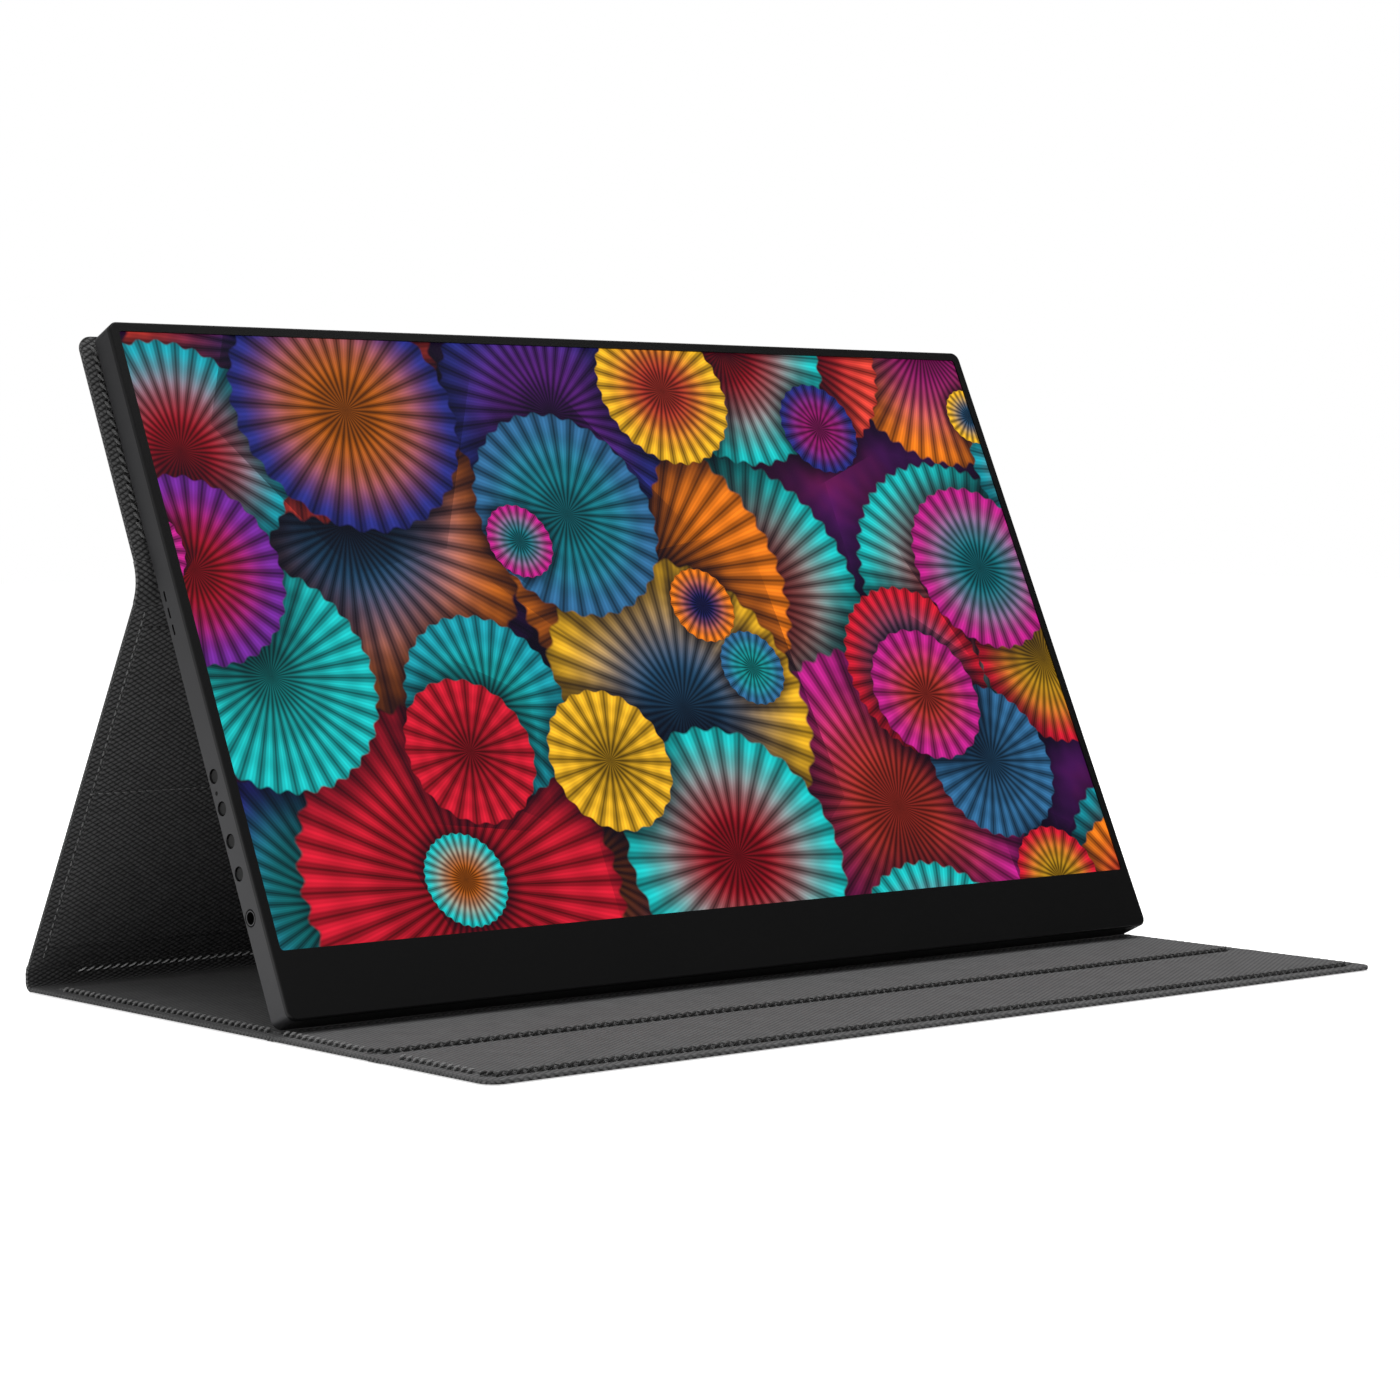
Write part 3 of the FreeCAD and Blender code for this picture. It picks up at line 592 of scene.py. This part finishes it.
def make_paper_rosettes():
    """One scatter of pleated paper rosettes: their colours, where they lie and the shade they cast."""
    tree, given, out = effect(
        "paper_rosettes",
        [
            ("Vector", "Vector", None), ("Scale", "Float", 14.0), ("Radius", "Float", 0.5),
            ("Pleats", "Float", 28.0), ("Left Out", "Float", 0.0),
        ],
        [("Colour", "Color"), ("Cover", "Float"), ("Shade", "Float")],
    )
    cells, room = [
        node(
            tree, "ShaderNodeTexVoronoi",
            {"Vector": given["Vector"], "Scale": given["Scale"], "Randomness": 0.8},
            voronoi_dimensions="2D", feature=feature,
        )
        for feature in ("F1", "N_SPHERE_RADIUS")
    ]
    tint = node(tree, "ShaderNodeSeparateColor", {"Color": cells.outputs["Color"]})
    widest = calc(tree, "MINIMUM", room.outputs["Radius"], given["Radius"])
    reach = calc(tree, "DIVIDE", cells.outputs["Distance"], widest)
    arm = vector_calc(tree, "SUBTRACT", given["Vector"], cells.outputs["Position"])
    parts = node(tree, "ShaderNodeSeparateXYZ", {"Vector": arm})
    angle = calc(tree, "ARCTAN2", parts.outputs["Y"], parts.outputs["X"])
    fold = calc(tree, "SINE", calc(tree, "MULTIPLY", angle, given["Pleats"]))
    scallop_depth = 0.02
    scallop = calc(tree, "MULTIPLY_ADD", fold, scallop_depth, reach)
    steps = [(n / len(PALETTE), colour) for n, colour in enumerate(PALETTE)]
    heart = ramp(tree, tint.outputs["Red"], steps, "CONSTANT")
    brim = ramp(tree, tint.outputs["Green"], steps, "CONSTANT")
    paper = mix(tree, smooth(tree, scallop, 0.25, 0.95), heart, brim)
    fibres_in_pleat = 5.0
    fibres = calc(tree, "MULTIPLY", given["Pleats"], fibres_in_pleat)
    fibre = calc(tree, "SINE", calc(tree, "MULTIPLY", angle, fibres))
    crease = calc(tree, "MULTIPLY_ADD", fibre, 0.1, calc(tree, "MULTIPLY_ADD", fold, 0.36, 0.62))
    ring_count = 22.0
    rings = calc(tree, "SINE", calc(tree, "MULTIPLY", scallop, ring_count))
    toned = calc(tree, "MULTIPLY", crease, calc(tree, "MULTIPLY_ADD", rings, 0.1, 0.95))
    dark_heart = calc(tree, "MULTIPLY_ADD", smooth(tree, scallop, 0.0, 0.9), 0.95, 0.25)
    depth = calc(tree, "MULTIPLY", toned, dark_heart)
    tone = node(tree, "ShaderNodeCombineColor", {"Red": depth, "Green": depth, "Blue": depth})
    join(tree, mix(tree, 1.0, paper, tone.outputs["Color"], "MULTIPLY"), out["Colour"])
    here = calc(tree, "GREATER_THAN", tint.outputs["Blue"], given["Left Out"])
    for key, low, high in (("Cover", 0.975, 1.0), ("Shade", 0.85, 1.45)):
        inside = calc(tree, "SUBTRACT", 1.0, smooth(tree, scallop, low, high))
        join(tree, calc(tree, "MULTIPLY", inside, here), out[key])
    return tree


crossed_threads = make_crossed_threads()
fine_grain = make_fine_grain()
paper_rosettes = make_paper_rosettes()


def empty_tree(owner):
    """The node tree of a new material or world, with nothing in it."""
    owner.use_nodes = True
    owner.node_tree.nodes.clear()
    return owner.node_tree


def finish(name, **plain):
    """A new material with these plain values, its tree and its shader's sockets."""
    material = bpy.data.materials.new(name)
    tree = empty_tree(material)
    shader = tree.nodes.new("ShaderNodeBsdfPrincipled")
    surface = tree.nodes.new("ShaderNodeOutputMaterial")
    tree.links.new(shader.outputs["BSDF"], surface.inputs["Surface"])
    for key, value in plain.items():
        shader.inputs[key.replace("_", " ")].default_value = value
    return material, tree, shader.inputs


def object_place(tree):
    return tree.nodes.new("ShaderNodeTexCoord").outputs["Object"]


def turned_place(tree, turn):
    """Object coordinates turned about X."""
    made = node(tree, "ShaderNodeMapping", {"Vector": object_place(tree), "Rotation": (turn, 0, 0)})
    return made.outputs["Vector"]


def bump(tree, height, depth, strength, socket):
    made = node(tree, "ShaderNodeBump", {"Height": height, "Distance": depth, "Strength": strength})
    join(tree, made.outputs["Normal"], socket)


def weave_lines(angle):
    """Lines at this angle to the cloth's width, as a vector across them."""
    across = angle + math.pi / 2
    return (math.cos(across) / WEAVE, math.sin(across) / WEAVE, 0)


def cloth_finish(name, dark, light, depth, sheen):
    """Woven cloth on its own flat coordinates."""
    material, tree, shader = finish(
        name, Sheen_Weight=sheen, Sheen_Roughness=0.5, Specular_IOR_Level=0.2,
    )
    flat = node(tree, "ShaderNodeUVMap", uv_map="weave").outputs["UV"]
    weave = use(
        tree, crossed_threads, Vector=flat,
        First_Lines=weave_lines(WEAVE_ANGLE), Second_Lines=weave_lines(-WEAVE_ANGLE),
    )
    woven = mix(tree, weave["Threads"], (*dark, 1), (*light, 1))
    patches = ramp(tree, weave["Patches"], [(0.3, grey(0.9)), (0.7, grey(1.06))])
    join(tree, mix(tree, 1.0, woven, patches, "MULTIPLY"), shader["Base Color"])
    join(tree, calc(tree, "MULTIPLY_ADD", weave["Threads"], -0.15, 0.9), shader["Roughness"])
    bump(tree, weave["Threads"], depth, 0.8, shader["Normal"])
    return material


def grained_finish(name, colour, roughness, drift=0.12, grain_scale=2500.0, depth=0.02 * MM, **plain):
    """A plain colour with grain, a drift of tone and an uneven gloss."""
    material, tree, shader = finish(name, **plain)
    surface = use(tree, fine_grain, Vector=object_place(tree), Grain_Scale=grain_scale)
    low = tuple(channel * (1 - drift) for channel in colour)
    high = tuple(channel * (1 + drift) for channel in colour)
    join(tree, ramp(tree, surface["Drift"], [(0.3, low), (0.7, high)]), shader["Base Color"])
    gloss = calc(tree, "MULTIPLY_ADD", surface["Grain"], GLOSS_SPREAD, roughness - GLOSS_SPREAD / 2)
    join(tree, gloss, shader["Roughness"])
    bump(tree, surface["Grain"], depth, 0.5, shader["Normal"])
    return material


def thread_finish(name, dark, light):
    """Twisted thread."""
    material, tree, shader = finish(name, Sheen_Weight=0.3, Specular_IOR_Level=0.3)
    ply = node(
        tree, "ShaderNodeTexWave",
        {"Vector": object_place(tree), "Scale": 900.0, "Distortion": 2.0, "Detail": 1.0},
        bands_direction="DIAGONAL",
    ).outputs["Fac"]
    join(tree, ramp(tree, ply, [(0.0, grey(dark)), (1.0, grey(light))]), shader["Base Color"])
    join(tree, calc(tree, "MULTIPLY_ADD", ply, 0.2, 0.6), shader["Roughness"])
    bump(tree, ply, 0.06 * MM, 0.6, shader["Normal"])
    return material


def make_screen_finish():
    """The lit screen: layered paper rosettes in bright colours."""
    material, tree, shader = finish(
        "lit_screen", Roughness=0.42, Specular_IOR_Level=0.06, Emission_Strength=1.0,
    )
    flat = turned_place(tree, TILT - math.pi / 2)
    picture = ramp(
        tree, noise(tree, flat, 18.0, 4.0),
        [(0.3, (0.004, 0.006, 0.05)), (0.55, (0.10, 0.008, 0.14)), (0.75, (0.22, 0.01, 0.10))],
    )
    for shift, scale, radius, pleats, left_out in (
        ((0.91, 0.37, 0), 7.0, 0.7, 46.0, 0.0), ((0.45, 0.62, 0), 8.0, 0.7, 40.0, 0.0),
        ((0.013, 0.021, 0), 7.5, 0.7, 44.0, 0.0), ((0.31, 0.17, 0), 9.0, 0.6, 36.0, 0.0),
        ((0.72, 0.44, 0), 11.5, 0.5, 30.0, 0.15), ((0.05, 0.83, 0), 17.0, 0.4, 22.0, 0.6),
    ):
        layer = use(
            tree, paper_rosettes, Vector=vector_calc(tree, "ADD", flat, shift), Scale=scale,
            Radius=radius, Pleats=pleats, Left_Out=left_out,
        )
        shade = calc(tree, "MULTIPLY", layer["Shade"], 0.85)
        picture = mix(tree, shade, picture, (0.001, 0.001, 0.006, 1))
        picture = mix(tree, layer["Cover"], picture, layer["Colour"])
    join(tree, picture, shader["Emission Color"])
    join(tree, mix(tree, 0.97, picture, (*grey(0.004), 1)), shader["Base Color"])
    return material


cover_finish = cloth_finish("cover_weave", (0.004, 0.004, 0.0042), (0.15, 0.15, 0.151), 0.3 * MM, 0.12)
lining_finish = cloth_finish("lining_weave", (0.06, 0.06, 0.061), (0.15, 0.15, 0.151), 0.08 * MM, 0.04)
# Painted shade: the near-black thread stands for the shadowed gaps in the seams.
shade_dark_thread = thread_finish("shade_dark_thread", 0.004, 0.012)
pale_thread = thread_finish("pale_thread", 0.15, 0.28)
white_thread = thread_finish("white_thread", 0.7, 0.92)
grey_thread = thread_finish("grey_thread", 0.06, 0.14)
screen_finish = make_screen_finish()
shell_finish = grained_finish(
    "anodised_shell", (0.051, 0.051, 0.053), 0.42, grain_scale=4000.0, depth=0.01 * MM,
    Metallic=0.6, Specular_IOR_Level=0.12,
)
bezel_finish = grained_finish("black_bezel", (0.0035, 0.0035, 0.0037), 0.4, Specular_IOR_Level=0.17)
black_finish = grained_finish("black_plastic", grey(0.012), 0.42)
steel_finish = grained_finish("plated_steel", (0.42, 0.42, 0.43), 0.3, Metallic=1.0)
film_finish = grained_finish("optical_film", (0.82, 0.83, 0.84), 0.25, drift=0.03)
board_finish = grained_finish("coated_board", (0.02, 0.10, 0.05), 0.4, drift=0.3)
ribbon_finish = grained_finish("ribbon_film", (0.72, 0.70, 0.64), 0.4)
pipe_finish = grained_finish("smoked_pipe", grey(0.003), 0.4, Specular_IOR_Level=0.05)
jack_finish = grained_finish(
    "jack_collar", (0.075, 0.075, 0.077), 0.4, Metallic=0.6, Specular_IOR_Level=0.12,
)
key_finish = grained_finish("key_caps", grey(0.012), 0.5, Specular_IOR_Level=0.12)
fibre_finish = grained_finish("fibre_board", (0.16, 0.15, 0.14), 0.85, drift=0.25, grain_scale=900.0)


def upright_points(piece):
    """The corners of a piece of the leaning display, turned upright."""
    turn = Matrix.Rotation(TILT, 3, "X")
    return [turn @ vertex.co for vertex in piece.data.vertices]


def paint_shade_black(material, mask):
    """Paint shade: make a finish black and dull where the mask is 1."""
    tree = material.node_tree
    shader = next(made for made in tree.nodes if made.type == "BSDF_PRINCIPLED").inputs
    colour = shader["Base Color"].links[0].from_socket
    join(tree, mix(tree, mask, colour, (*grey(0.001), 1)), shader["Base Color"])
    socket = shader["Metallic"]
    metal = socket.links[0].from_socket if socket.is_linked else socket.default_value
    join(tree, calc(tree, "MULTIPLY", calc(tree, "SUBTRACT", 1.0, mask), metal), socket)
    gloss = shader["Roughness"].links[0].from_socket
    join(tree, calc(tree, "MAXIMUM", mask, gloss), shader["Roughness"])


def paint_shade_inside(material, piece, margins):
    """Paint black, as shade in holes and recesses, what lies deeper in the piece than these margins from
    its outer box.
    """
    points = upright_points(piece)
    tree = material.node_tree
    place = node(tree, "ShaderNodeSeparateXYZ", {"Vector": turned_place(tree, TILT)})
    inside = 1.0
    for axis, margin in enumerate(margins):
        low = min(point[axis] for point in points)
        high = max(point[axis] for point in points)
        reach = (high - low) / 2 - margin
        within = calc(tree, "COMPARE", place.outputs[axis], (low + high) / 2, reach)
        inside = calc(tree, "MULTIPLY", within, inside)
    paint_shade_black(material, inside)


def paint_shadow_rim(material, piece, width):
    """Paint black, as the shadow in the gap round it, the rim of a round collar on the display's left side.
    """
    points = upright_points(piece)
    face = min(point.x for point in points)
    collar = [point for point in points if point.x < face + TINY]
    lows = [min(point[axis] for point in collar) for axis in (1, 2)]
    highs = [max(point[axis] for point in collar) for axis in (1, 2)]
    centre = (0, (lows[0] + highs[0]) / 2, (lows[1] + highs[1]) / 2)
    tree = material.node_tree
    across = vector_calc(tree, "MULTIPLY", turned_place(tree, TILT), (0, 1, 1))
    reach = vector_calc(tree, "DISTANCE", across, centre, "Value")
    paint_shade_black(material, calc(tree, "GREATER_THAN", reach, (highs[0] - lows[0]) / 2 - width))


# Painted shade: the walls inside the housing's slots, sockets and key holes are painted black where shade
# falls.
paint_shade_inside(shell_finish, frame["nodes"]["rear_housing"], SHELL_SHADE_MARGINS)
# Painted shade: the jack's bore is painted black where shade falls.
paint_shade_inside(jack_finish, frame["nodes"]["headphone_jack"], JACK_SHADE_MARGINS)
# Painted shadow: the jack collar's outer rim is painted black as the shadow gap between collar and housing.
paint_shadow_rim(jack_finish, frame["nodes"]["headphone_jack"], JACK_SHADOW_RIM)

NODE_FINISHES = {
    shell_finish: ["rear_housing"],
    bezel_finish: ["front_bezel"],
    screen_finish: ["lcd_panel"],
    film_finish: ["diffuser_sheet", "light_guide", "reflector_sheet"],
    steel_finish: [
        "backlight_tray", "board_screws", "data_sockets", "video_socket",
        "housing_magnets", "cover_magnets",
    ],
    board_finish: ["light_bar", "main_board", "side_board", "timing_board"],
    key_finish: ["power_key", "menu_key", "up_key", "down_key"],
    jack_finish: ["headphone_jack"],
    black_finish: ["side_switches", "left_speaker", "right_speaker"],
    ribbon_finish: ["panel_ribbon", "side_ribbon"],
    pipe_finish: ["led_light_pipe"],
    fibre_finish: ["base_board", "prop_board", "mid_flap_board", "front_flap_board", "upper_board"],
}
for material, names in NODE_FINISHES.items():
    for name in names:
        for slot in frame["nodes"][name].material_slots:
            slot.material = material


def finish_piece(obj, slot, *materials):
    for material in materials:
        obj.data.materials.append(material)


def inner_side_up(obj):
    """Give the faces that look up the lining, on a piece whose first material is the cover's cloth."""
    for face in obj.data.polygons:
        face.material_index = 1 if face.normal.z > 0.5 else 0


def make_panel(name, panel):
    """A panel's two cloths, in place of the model's plain skin and lining."""
    outer = outer_cloth(f"{name}_outer_cloth", panel)
    inner = inner_cloth(f"{name}_inner_cloth", panel)
    finish_piece(outer, "cover_cloth", cover_finish)
    if name in LINED_PANELS:
        finish_piece(inner, "lining_cloth", lining_finish)
    else:
        finish_piece(inner, "cover_cloth", cover_finish)
    for obj, cloth in ((outer, "skin"), (inner, "lining")):
        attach(obj, panel.body)
        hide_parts(f"{name}_{cloth}")
    return outer, inner


cloths = {name: make_panel(name, panel) for name, panel in PANELS.items()}


def make_folds():
    """The strips of cloth that bend where two panels meet, by the panel that each one is sewn to."""
    folds = {}
    for name, node_name, first, second, y, half in (
        ("groove_cloth", "groove_fold", "mid_flap", "base", GROOVE, GROOVE_FOLD),
        ("front_fold_cloth", "front_fold", "front_flap", "mid_flap", FLAP, FRONT_FOLD),
    ):
        obj = flat_fold(name, y, half)
        finish_piece(obj, "cover_cloth", cover_finish, lining_finish)
        inner_side_up(obj)
        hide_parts(node_name)
        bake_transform(obj)
        folds[first] = [obj]
    spine_start = SPINE_TOP - SPINE_SETBACK
    spine_middle = (REAR_BEND + spine_start) / 2
    rear = bent_fold(
        "rear_fold_cloth", (REAR - REAR_BEND, REAR_BEND), REAR_BEND - SHEET, -math.pi / 2, math.pi / 2,
        tail=spine_middle - REAR_BEND,
    )
    finish_piece(rear, "cover_cloth", cover_finish)
    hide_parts("rear_fold", "spine_strip")
    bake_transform(rear)
    spine = bent_fold(
        "spine_fold_cloth", (REAR - SPINE_BEND, spine_start), SPINE_BEND - SHEET, 0, LEAN,
        lead=spine_start - spine_middle,
    )
    finish_piece(spine, "cover_cloth", cover_finish)
    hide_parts("spine_fold")
    up_prop = Vector((0, -math.sin(LEAN), math.cos(LEAN)))
    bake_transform(spine)
    prop_end = TOP_FOLD - up_prop * TOP_SETBACK
    back = Vector((0, math.cos(LEAN), math.sin(LEAN)))
    centre = prop_end + back * TOP_BEND
    top = bent_fold("top_fold_cloth", (centre.y, centre.z), TOP_BEND, math.pi + LEAN, -(TILT + LEAN))
    finish_piece(top, "cover_cloth", cover_finish)
    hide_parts("top_fold")
    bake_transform(top)
    folds["base"] = [rear]
    folds["prop"] = [spine]
    folds["upper"] = [top]
    return folds


def make_stitching():
    """The seams that show, on the inside and the outside of each panel."""
    row = COVER_HALF - SEAM_INSET
    corner = row - CORNER_CUT
    foot_end = COVER_HALF - FOOT_INSET

    def sides(low, high, way):
        return [
            Seam((row, low), (row, high), SIDE_PITCH, FLAT_THREAD, 0, CROSSES),
            Seam((-row, high), (-row, low), SIDE_PITCH, SIDE_THREAD, SEAM_TIP, way),
        ]

    def front_step(y):
        return [
            Seam((-corner, y), (row, y), STEP_PITCH, STEP_THREAD, SEAM_TIP, CROSSES),
            Seam((-row, y + CORNER_CUT), (-corner, y), CORNER_PITCH, STEP_THREAD, SEAM_TIP, CROSSES),
        ]

    def dashes(low, high, tip=0.0):
        return [
            Seam((x, low), (x, high), DASH_PITCH, DASH_THREAD, tip, DASHES)
            for x in (-row, row)
        ]

    def dashes_across(y, tip=0.0):
        return [Seam((-row, y), (row, y), DASH_PITCH, DASH_THREAD, tip, DASHES)]

    foot = [Seam((-foot_end, PROP_FOOT), (foot_end, PROP_FOOT), SIDE_PITCH, FOOT_THREAD, 0, CROSSES)]
    upper_back = dashes(*UPPER_BACK_ROWS, math.pi) + dashes_across(UPPER_HEM, math.pi)
    # Painted shade: the near-black thread is the dark crosses under the pale beads and the dark slashes of
    # the step rows.
    edges = (pale_thread, shade_dark_thread)
    steps = (shade_dark_thread, grey_thread)
    feet = (white_thread, shade_dark_thread)
    stand = (grey_thread, shade_dark_thread)
    inside = defaultdict(list)
    outside = defaultdict(list)
    for sewn, name, label, seams, level, threads in (
        (inside, "base", "stitches", sides(*BASE_ROWS, BEADS), SHEET, edges),
        (inside, "mid_flap", "stitches", sides(*MID_ROWS, BEADS), SHEET, edges),
        (inside, "mid_flap", "step_stitches", front_step(MID_STEP), SHEET, steps),
        (inside, "front_flap", "stitches", sides(*FRONT_ROWS, BEADS), SHEET, edges),
        (inside, "front_flap", "hem_stitches", front_step(FRONT_HEM), SHEET, steps),
        (inside, "prop", "stitches", dashes(*PROP_ROWS), SHEET, edges),
        (inside, "prop", "foot_stitches", foot, FOOT_LEVEL, feet),
        (inside, "prop", "crease_stitches", dashes_across(PROP_CREASE), SHEET + BOARD, edges),
        (inside, "upper", "stitches", sides(*UPPER_ROWS, CROSSES), SHEET, stand),
        (outside, "prop", "back_stitches", dashes(*PROP_BACK_ROWS, math.pi), BACK_LEVEL, stand),
        (outside, "upper", "back_stitches", upper_back, BACK_LEVEL, stand),
    ):
        sewn[name].append(sew(f"{name}_{label}", PANELS[name], seams, level, *threads))
    return inside, outside


def declare_cloth(folds, inside, outside):
    """Goes over each panel's two cloths, with the fold strip and the seams sewn to them, and does nothing
    with them.
    """
    for name, (outer, inner) in cloths.items():
        flat = (2 * COVER_HALF, PANELS[name].end - PANELS[name].start)
        behind = folds[name] + outside[name]
        inside[name]


declare_cloth(make_folds(), *make_stitching())

# The studio: the floor's paint and glow, and the surround's light low down and straight above
FLOOR_SIZE = 9.0
FLOOR_DROP = 0.3 * MM
FLOOR_PAINT = 0.9
FLOOR_GLOW = 0.66
DOME_LOW = 0.16
DOME_RISE = 0.42

# Where the surround darkens towards the right, as by a black card, and its light before and after
CARD_EDGES = (0.5, 0.8)
CARD_OPEN = 1.15
CARD_SHUT = 0.05

# The lamps: place, size and power, all aimed at the monitor
LAMPS = {
    "left_softbox": ((-2.6, -0.2, 0.8), 2.0, 15.0),
    "top_softbox": ((0.1, 0.1, 1.6), 1.4, 10.0),
    "right_softbox": ((0.8, 0.2, 1.2), 0.5, 4.0),
}
LAMP_TARGET = Vector((0, 0, 0.08))

# The camera, as solved from the screen's four corners
CAMERA_PLACE = (-0.7392, -0.8496, 0.1516)
CAMERA_ACROSS = (0.7577, -0.6526, 0.0016)
CAMERA_AHEAD = (0.6516, 0.7564, -0.0566)
CAMERA_SENSOR = 36.0
CAMERA_LENS = 93.09
CAMERA_REACH = 50.0


def make_floor():
    """A plain pale floor that looks white to the camera."""
    floor = plane("floor", FLOOR_SIZE, FLOOR_SIZE, (0, 0, -FLOOR_DROP))
    material = bpy.data.materials.new("pale_floor")
    tree = empty_tree(material)
    paint = node(tree, "ShaderNodeBsdfDiffuse", {"Color": (*grey(FLOOR_PAINT), 1)})
    rays = tree.nodes.new("ShaderNodeLightPath").outputs
    mirrored = calc(tree, "MAXIMUM", rays["Is Glossy Ray"], rays["Is Transmission Ray"])
    seen = calc(tree, "MAXIMUM", rays["Is Camera Ray"], mirrored)
    glow = node(tree, "ShaderNodeEmission", {"Strength": calc(tree, "MULTIPLY", seen, FLOOR_GLOW)})
    blend = tree.nodes.new("ShaderNodeAddShader")
    join(tree, paint.outputs[0], blend.inputs[0])
    join(tree, glow.outputs[0], blend.inputs[1])
    surface = tree.nodes.new("ShaderNodeOutputMaterial")
    join(tree, blend.outputs[0], surface.inputs["Surface"])
    floor.data.materials.append(material)


def make_surround():
    """A white surround to the camera, and a dome of light to the object."""
    world = bpy.data.worlds.new("studio")
    bpy.context.scene.world = world
    tree = empty_tree(world)
    rays = tree.nodes.new("ShaderNodeLightPath").outputs
    seen = calc(tree, "MAXIMUM", rays["Is Camera Ray"], rays["Is Transmission Ray"])
    way = tree.nodes.new("ShaderNodeTexCoord").outputs["Generated"]
    aim = node(tree, "ShaderNodeSeparateXYZ", {"Vector": way}).outputs
    dome = calc(tree, "MULTIPLY_ADD", calc(tree, "MAXIMUM", aim["Z"], 0.0), DOME_RISE, DOME_LOW)
    card = smooth(tree, aim["X"], *CARD_EDGES)
    shading = calc(tree, "MULTIPLY_ADD", card, CARD_SHUT - CARD_OPEN, CARD_OPEN)
    level = calc(tree, "MAXIMUM", seen, calc(tree, "MULTIPLY", dome, shading))
    sky = node(tree, "ShaderNodeBackground", {"Color": (1, 1, 1, 1), "Strength": level})
    surface = tree.nodes.new("ShaderNodeOutputWorld")
    join(tree, sky.outputs[0], surface.inputs["Surface"])


def make_lamps():
    for name, (place, size, power) in LAMPS.items():
        lamp = bpy.data.lights.new(name, "AREA")
        lamp.energy = power
        lamp.size = size
        obj = bpy.data.objects.new(name, lamp)
        bpy.context.scene.collection.objects.link(obj)
        obj.location = place
        obj.rotation_euler = (LAMP_TARGET - Vector(place)).to_track_quat("-Z", "Y").to_euler()


def make_camera():
    """The photograph's view."""
    camera = bpy.data.cameras.new("camera")
    camera.sensor_width = CAMERA_SENSOR
    camera.lens = CAMERA_LENS
    camera.clip_end = CAMERA_REACH
    obj = bpy.data.objects.new("camera", camera)
    bpy.context.scene.collection.objects.link(obj)
    across = Vector(CAMERA_ACROSS).normalized()
    ahead = Vector(CAMERA_AHEAD).normalized()
    up = across.cross(ahead)
    turn = Matrix((across, up, -ahead)).transposed().to_4x4()
    obj.matrix_world = Matrix.Translation(CAMERA_PLACE) @ turn
    bpy.context.scene.camera = obj


make_floor()
make_surround()
make_lamps()
make_camera()
bpy.context.scene.view_settings.view_transform = "Standard"
